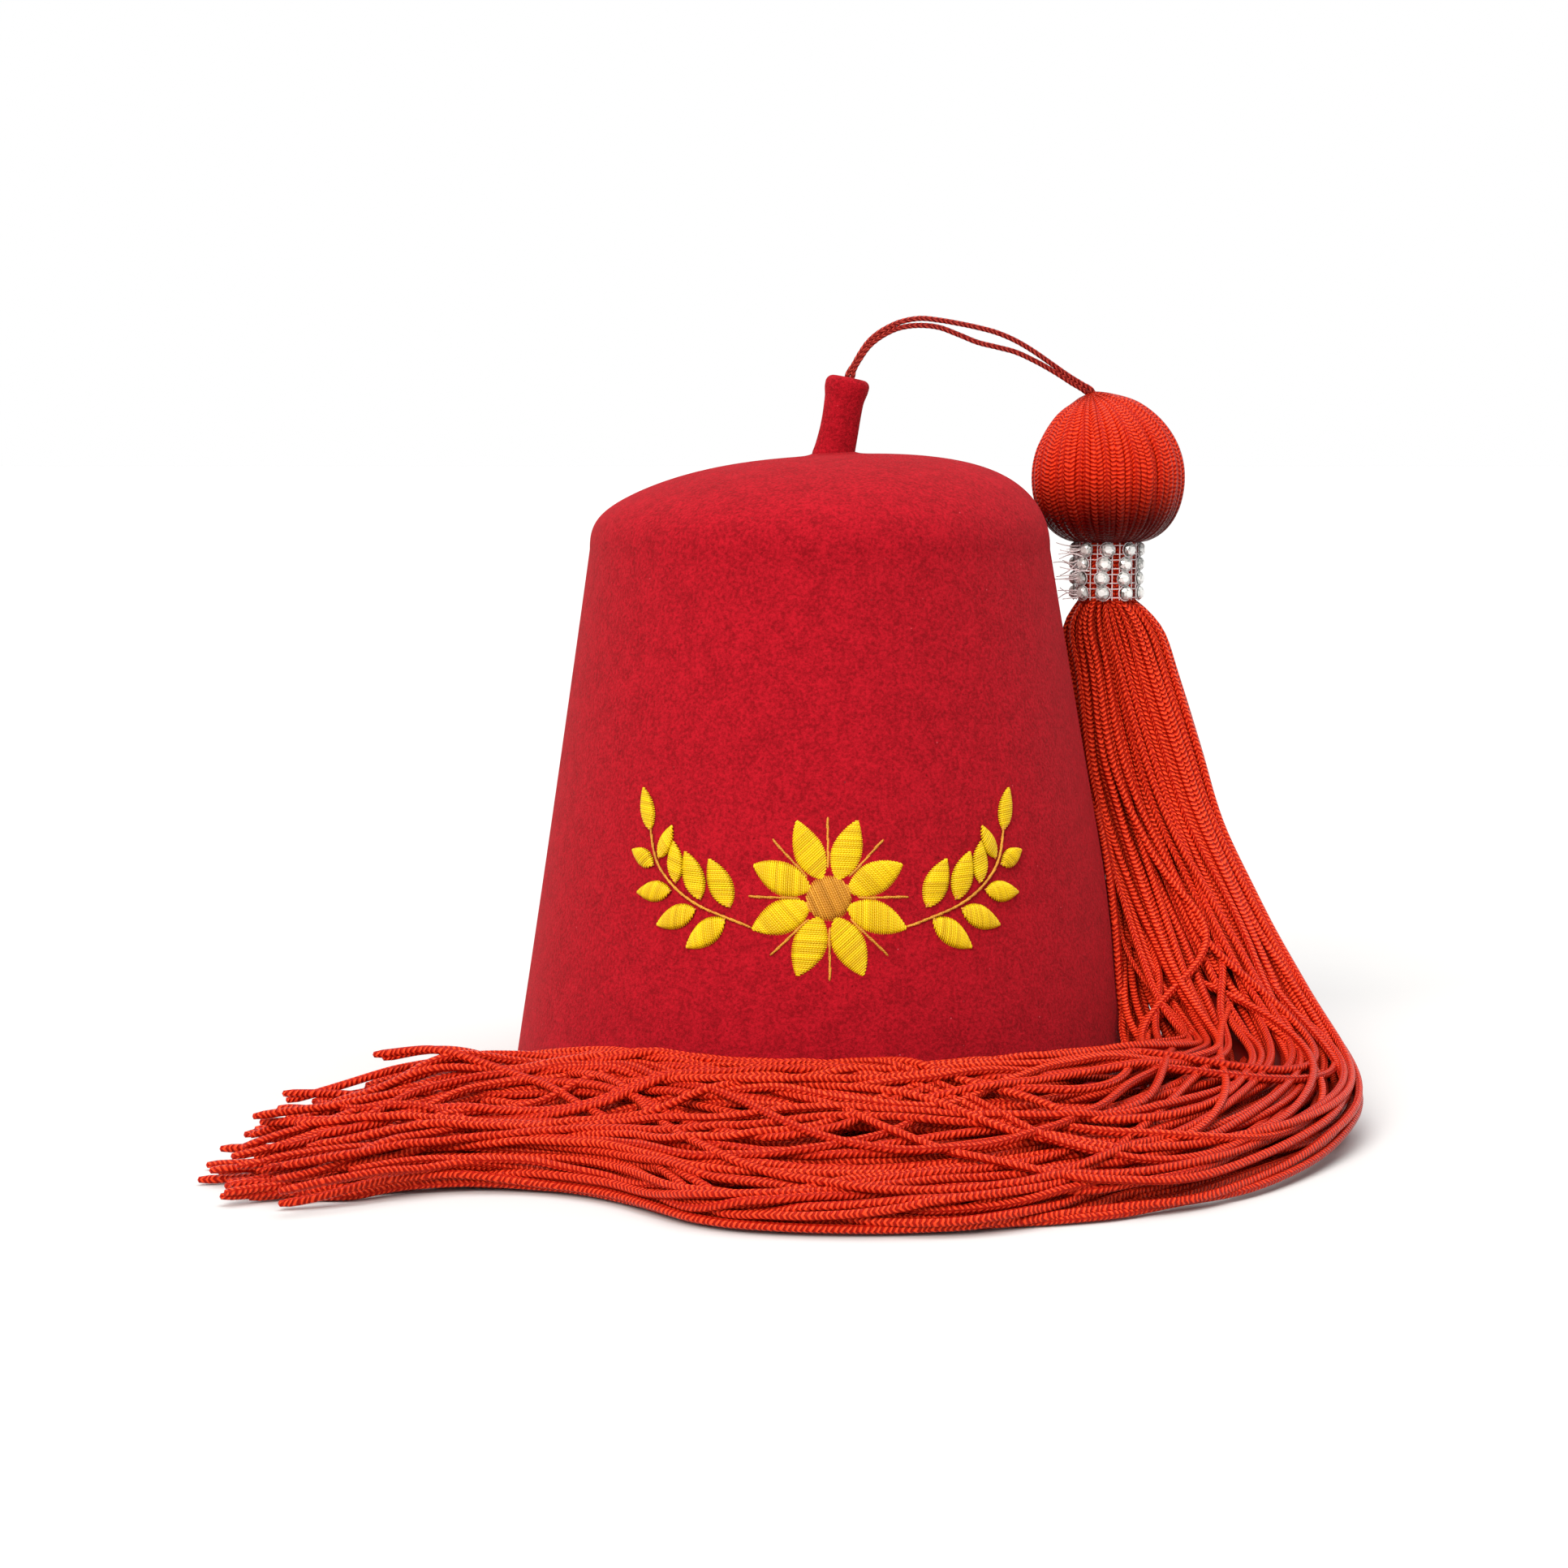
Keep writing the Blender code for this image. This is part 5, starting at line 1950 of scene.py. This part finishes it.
        # The low cords in the middle run furthest out, and those on top and at the sides end first
        aside = np.abs(placed[-1, :, 0]) / bundle.half_width[-1]
        raised = (placed[-1, :, 1] / bundle.half_thickness[-1] + 1) / 2
        spare = self.early_ends * aside**1.5 + self.early_ends * np.clip(raised, 0, 1)
        ends = bundle.along[-1] - spare - rng.uniform(0.0, self.uneven_ends, self.cords)
        paths = np.empty((self.cords, self.points, 3))
        radii = np.empty((self.cords, self.points))
        for i in range(self.cords):
            marks = np.linspace(0, ends[i], self.points)
            for axis in range(3):
                paths[i, :, axis] = np.interp(marks, bundle.along, line[:, i, axis])
            radii[i] = np.interp(marks, bundle.along, radius)
        way = np.arange(self.points) / (self.points - 1)
        tail, fan = smooth((way - 0.93) / 0.07), smooth((way - 0.86) / 0.14)
        paths[..., 1] += rng.normal(0, self.splay, self.cords)[:, None] * fan[None]
        drop = rng.uniform(0.0, 0.45, self.cords)[:, None] * tail[None]
        paths[..., 2] += (full - paths[..., 2]) * drop
        lifted = self.curl * rng.uniform(-1, 1, self.cords)[:, None] ** 3 * fan[None]
        paths[..., 2] = np.maximum(paths[..., 2] + lifted, radii)
        # One cord was pulled thin, and lies over the rest
        thin = int(np.argmax(placed[self.sections // 2, :, 1]))
        radii[thin] *= self.thin
        radii[:, -1] *= self.tip
        return paths, radii, self.core(line, bundle)

    def loose(self) -> tuple[Array, Array]:
        """Let a few short cords hang free beside the wall, out of the rest of the skirt.

        Returns:
            Their routes, by cord, point and axis, and the radius at each point.
        """
        rows = np.array(LOOSE_CORDS)
        share = np.linspace(0, 1, self.points)
        height = (rows[:, 2:3] + (rows[:, 3:] - rows[:, 2:3]) * share) * MM
        swing = np.sin(np.pi * share * 2.5) * (1 - share) * 0.03
        angle = np.radians(rows[:, :1] + (rows[:, 1:2] - rows[:, :1]) * smooth(share)) + swing
        radius = np.full(height.shape, self.cord_diameter / 2)
        radius[:, -1] *= self.tip
        # They leave the middle of the skirt high up, and reach the wall further down
        off = 0.1 * MM + 9 * MM * (1 - smooth(share / 0.36))
        return self.form.wall(height, angle, -radius - off), radius

    def build(self) -> None:
        """Build the cords in a few joined pieces."""
        paths, radii, core = self.routes()
        free_paths, free_radii = self.loose()
        paths = np.concatenate([paths, free_paths])
        radii = np.concatenate([radii, free_radii])
        # The core stands in for the deep cords with painted shade
        show("tassel_skirt_core", core, SHADED_UNDERLAY.make(), ("tassel",))
        rng = np.random.default_rng(8)
        # Painted shade: the lying cords are darkened a little, most where they turn
        share = np.arange(self.points) / self.points
        bend_shade = np.exp(-(((share - 0.40) / 0.09) ** 2))
        lying_shade = 0.10 * smooth((share - 0.28) / 0.1) + 0.14 * bend_shade
        unlike = 0.12 + 0.18 * smooth((share - 0.10) / 0.25)
        tone = rng.uniform(0.0, 1.0, len(paths))[:, None] * unlike + lying_shade
        finish = KnittedRayon(
            name="orange red knitted rayon",
            crest="#fd4a26",
            valley="#980a04",
            shade="#8e0a06",
        ).make()
        for k in range(self.pieces):
            mine = slice(k, None, self.pieces)
            part = tubes(paths[mine], radii[mine], self.sides, tone[mine])
            show(f"tassel_skirt_cords_{k + 1}", part, finish, ("tassel",))


@dataclass
class StoneNet:
    """The clear moulded net round the neck, with a stone in every seat and a frayed cut end."""

    form: HatForm
    columns: int = 9
    rows: int = 4
    pitch: float = 0.0039
    thickness: float = 0.0008
    stone: float = 0.0038
    girdle: float = 0.0005
    rise: float = 0.0010
    # The widths of the ring under the table and of the table, and how far up the rise that ring is
    belt_share: float = 0.78
    table_share: float = 0.50
    belt_rise: float = 0.62
    # How unevenly the stones sit: round the neck and leaned up or down, in radians
    shifting: float = 0.02
    tipping: float = 0.08
    # How deep the stones, the hoops and the uprights lie in the net, and the cups' gap and lift
    seat: float = 0.1 * MM
    hoop_depth: float = 0.25 * MM
    upright_depth: float = 0.2 * MM
    cup_gap: float = 0.12 * MM
    cup_lift: float = 0.15 * MM
    bar: float = 0.17 * MM
    cup: float = 0.15 * MM
    row_shifts: tuple[float, ...] = (-0.04, -0.09, -0.03, 0.08)
    filaments: int = 20
    filament: float = 0.24 * MM
    frayed_turn: float = math.radians(214.0)

    @property
    def radius(self) -> float:
        """The net's outer radius."""
        return self.form.neck_diameter / 2 + self.form.clearance + self.thickness

    @property
    def bottom(self) -> float:
        """The net's lower edge."""
        form = self.form
        return float(form.head_middle()[2]) - form.head_drop - form.clearance - form.net_height

    def round_neck(self, turn: Values, height: Values, radius: float) -> Array:
        """Points round the neck.

        Args:
            turn: Their angles round its axis.
            height: Their heights.
            radius: How far they are from the axis.

        Returns:
            The points, round the hat's axis.
        """
        middle = self.form.head_middle()
        x, y = middle[0] + radius * np.cos(turn), middle[1] + radius * np.sin(turn)
        return spread(x, y, height)

    def cut(self, seat: Array, out: Array, spin: float) -> list[list[Array]]:
        """Cut one stone: a girdle, sixteen lower facets, eight kites and a table.

        Args:
            seat: The middle of its back.
            out: The way that it faces.
            spin: How far it is turned in its seat, in radians.

        Returns:
            The corners of each face.
        """
        way = unit(np.cross([0.0, 0.0, 1.0], out))
        up = np.cross(out, way)
        rings = []
        for count, share, lift, shift in (
            (16, 1.0, 0.0, 0.0),
            (16, 1.0, self.girdle, 0.0),
            (8, self.belt_share, self.girdle + self.rise * self.belt_rise, 0.5),
            (8, self.table_share, self.girdle + self.rise, 0.0),
        ):
            angle = 2 * np.pi * (np.arange(count) + shift) / count + spin
            spoke = np.cos(angle)[:, None] * way + np.sin(angle)[:, None] * up
            rings.append(seat + out * lift + self.stone / 2 * share * spoke)
        base, waist, belt, table = rings
        faces = []
        for i in range(16):
            j = (i + 1) % 16
            faces.append([base[i], base[j], waist[j], waist[i]])
        for i in range(8):
            j = (i + 1) % 8
            left, peak, right = waist[2 * i], waist[2 * i + 1], waist[(2 * i + 2) % 16]
            faces.append([left, peak, belt[i]])
            faces.append([peak, right, belt[i]])
            faces.append([right, belt[j], belt[i]])
            faces.append([belt[i], table[j], table[i]])
            faces.append([belt[i], belt[j], table[j]])
        return faces + [[table[0], table[k], table[k + 1]] for k in range(1, 7)]

    def facets(self, rng: np.random.Generator) -> Part:
        """Cut all the stones, each a little askew in its seat.

        Args:
            rng: The source of the randomness in how they sit and in their painted reflections.

        Returns:
            The stones as one part, with a painted reflection tone for each facet.
        """
        # Painted reflection: the girdle and the facets next to it are painted dark, and the middle
        # brightest
        low = [0.85] * 16 + [0.30, 0.30, 0.10, 0.0, 0.0] * 8 + [0.0] * 6
        high = [1.0] * 16 + [0.95, 0.95, 0.85, 0.7, 0.7] * 8 + [0.2] * 6
        corners, sizes, tones = [], [], []
        for column in range(self.columns):
            turn = 2 * np.pi * (column + 0.5) / self.columns
            for row in range(self.rows):
                height = self.bottom + (row + 0.5) * self.pitch
                turn_here = turn + self.row_shifts[row] + rng.normal(0, self.shifting)
                tip = rng.normal(0, self.tipping)
                out = unit(np.array([math.cos(turn_here), math.sin(turn_here), tip]))
                seat = self.round_neck(turn_here, height, self.radius - self.seat)
                faces = self.cut(seat, out, rng.uniform(0, np.pi / 8))
                for tone, face in zip(rng.uniform(low, high), faces):
                    sizes.append(len(face))
                    corners.extend(face)
                    tones.extend([tone] * len(face))
        vertices = np.array(corners)
        first = np.cumsum([0] + sizes[:-1])
        size = np.array(sizes)
        quads = first[size == 4][:, None] + np.arange(4)
        triangles = first[size == 3][:, None] + np.arange(3)
        return Part.plain(vertices, quads, triangles, np.array(tones))

    def bars(self) -> Part:
        """Mould the net's bars: hoops, uprights and a cup's rim round every stone.

        Returns:
            The bars as one part.
        """
        parts = []
        turn = np.linspace(0, 2 * np.pi, 97)
        for row in range(self.rows):
            for share in (0.2, 0.8):
                height = self.bottom + (row + share) * self.pitch
                path = self.round_neck(turn, height, self.radius - self.hoop_depth)[None]
                parts.append(tubes(path, np.full((1, 97), self.bar), 6, np.zeros(1)))
        rise = np.linspace(0.1, self.rows * self.pitch / MM - 0.1, 40) * MM + self.bottom
        step = 2 * np.pi / self.columns
        uprights = [
            self.round_neck(step * c + d * step, rise, self.radius - self.upright_depth)
            for c in range(self.columns)
            for d in (-0.17, 0.17)
        ]
        paths = np.stack(uprights)
        parts.append(tubes(paths, np.full(paths.shape[:2], self.bar), 6, np.zeros(len(paths))))
        cups = []
        a = np.linspace(0, 2 * np.pi, 21)
        for column in range(self.columns):
            for row in range(self.rows):
                spot = step * (column + 0.5) + self.row_shifts[row]
                half = self.stone / 2 + self.cup_gap
                turn = spot + half * np.cos(a) / self.radius
                height = self.bottom + (row + 0.5) * self.pitch + half * np.sin(a)
                cups.append(self.round_neck(turn, height, self.radius + self.cup_lift))
        paths = np.stack(cups)
        parts.append(tubes(paths, np.full(paths.shape[:2], self.cup), 6, np.zeros(len(paths))))
        return joined(parts)

    def frays(self, rng: np.random.Generator) -> Part:
        """Pull thin filaments out of the net's cut end, beside the crown.

        Args:
            rng: The source of the randomness in how they lie.

        Returns:
            The filaments as one part.
        """
        height = self.bottom + rng.uniform(0.02, 1.0, self.filaments) * self.rows * self.pitch
        turn = self.frayed_turn + rng.normal(0, 0.12, self.filaments)
        start = self.round_neck(turn, height, self.radius - self.upright_depth)
        out = np.stack([np.cos(turn), np.sin(turn), rng.normal(0, 0.25, self.filaments)], -1)
        side = np.stack([np.sin(turn), -np.cos(turn), rng.normal(0, 0.3, self.filaments)], -1)
        length = rng.uniform(3.5, 8.0, self.filaments)[:, None] * MM
        share = np.linspace(0, 1, 12)[None, :, None]
        bow = rng.normal(0, 0.6, self.filaments)[:, None, None] * MM * np.sin(np.pi * share)
        reach = (unit(0.75 * out + 0.75 * side) * length)[:, None] * share
        paths = start[:, None] + reach + bow * np.array([0.0, 0.3, 1.0])
        radii = np.broadcast_to(self.filament * (1 - 0.5 * share[..., 0]), paths.shape[:2])
        return tubes(paths, radii, 6, np.zeros(self.filaments))

    def build(self) -> None:
        """Build the stones and the net over their solid."""
        rng = np.random.default_rng(17)
        foil, clear = FoilBackedStone().make(), ClearPlastic().make()
        torn = ClearPlastic(name="clear PVC, torn and clouded", tint="#fbeeee", clarity=0.15)
        show("net_stones", self.facets(rng), foil, ("stone_net",), flat=True)
        show("net_bars", self.bars(), clear, ("stone_net",))
        show("net_frays", self.frays(rng), torn.make(), ("stone_net",))


def main() -> None:
    """Build every sub-assembly in order, camera and cords first, and note the two boxes."""
    form = HatForm()
    Studio().build()
    HangerStrands(form).build()
    FeltCrown(form).build()
    FeltStem(form).build()
    FrontEmbroidery(form).build()
    TasselHead(form).build()
    TasselNeck(form).build()
    TasselSkirt(form).build()
    StoneNet(form).build()
    boxes = {"cad": CAD_BOX, "visual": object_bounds()}
    for name, (low, high) in boxes.items():
        size = [round(1000 * (high[i] - low[i]), 1) for i in range(3)]
        log.info("%s box: %s mm", name, size)


if __name__ == "__main__":
    main()
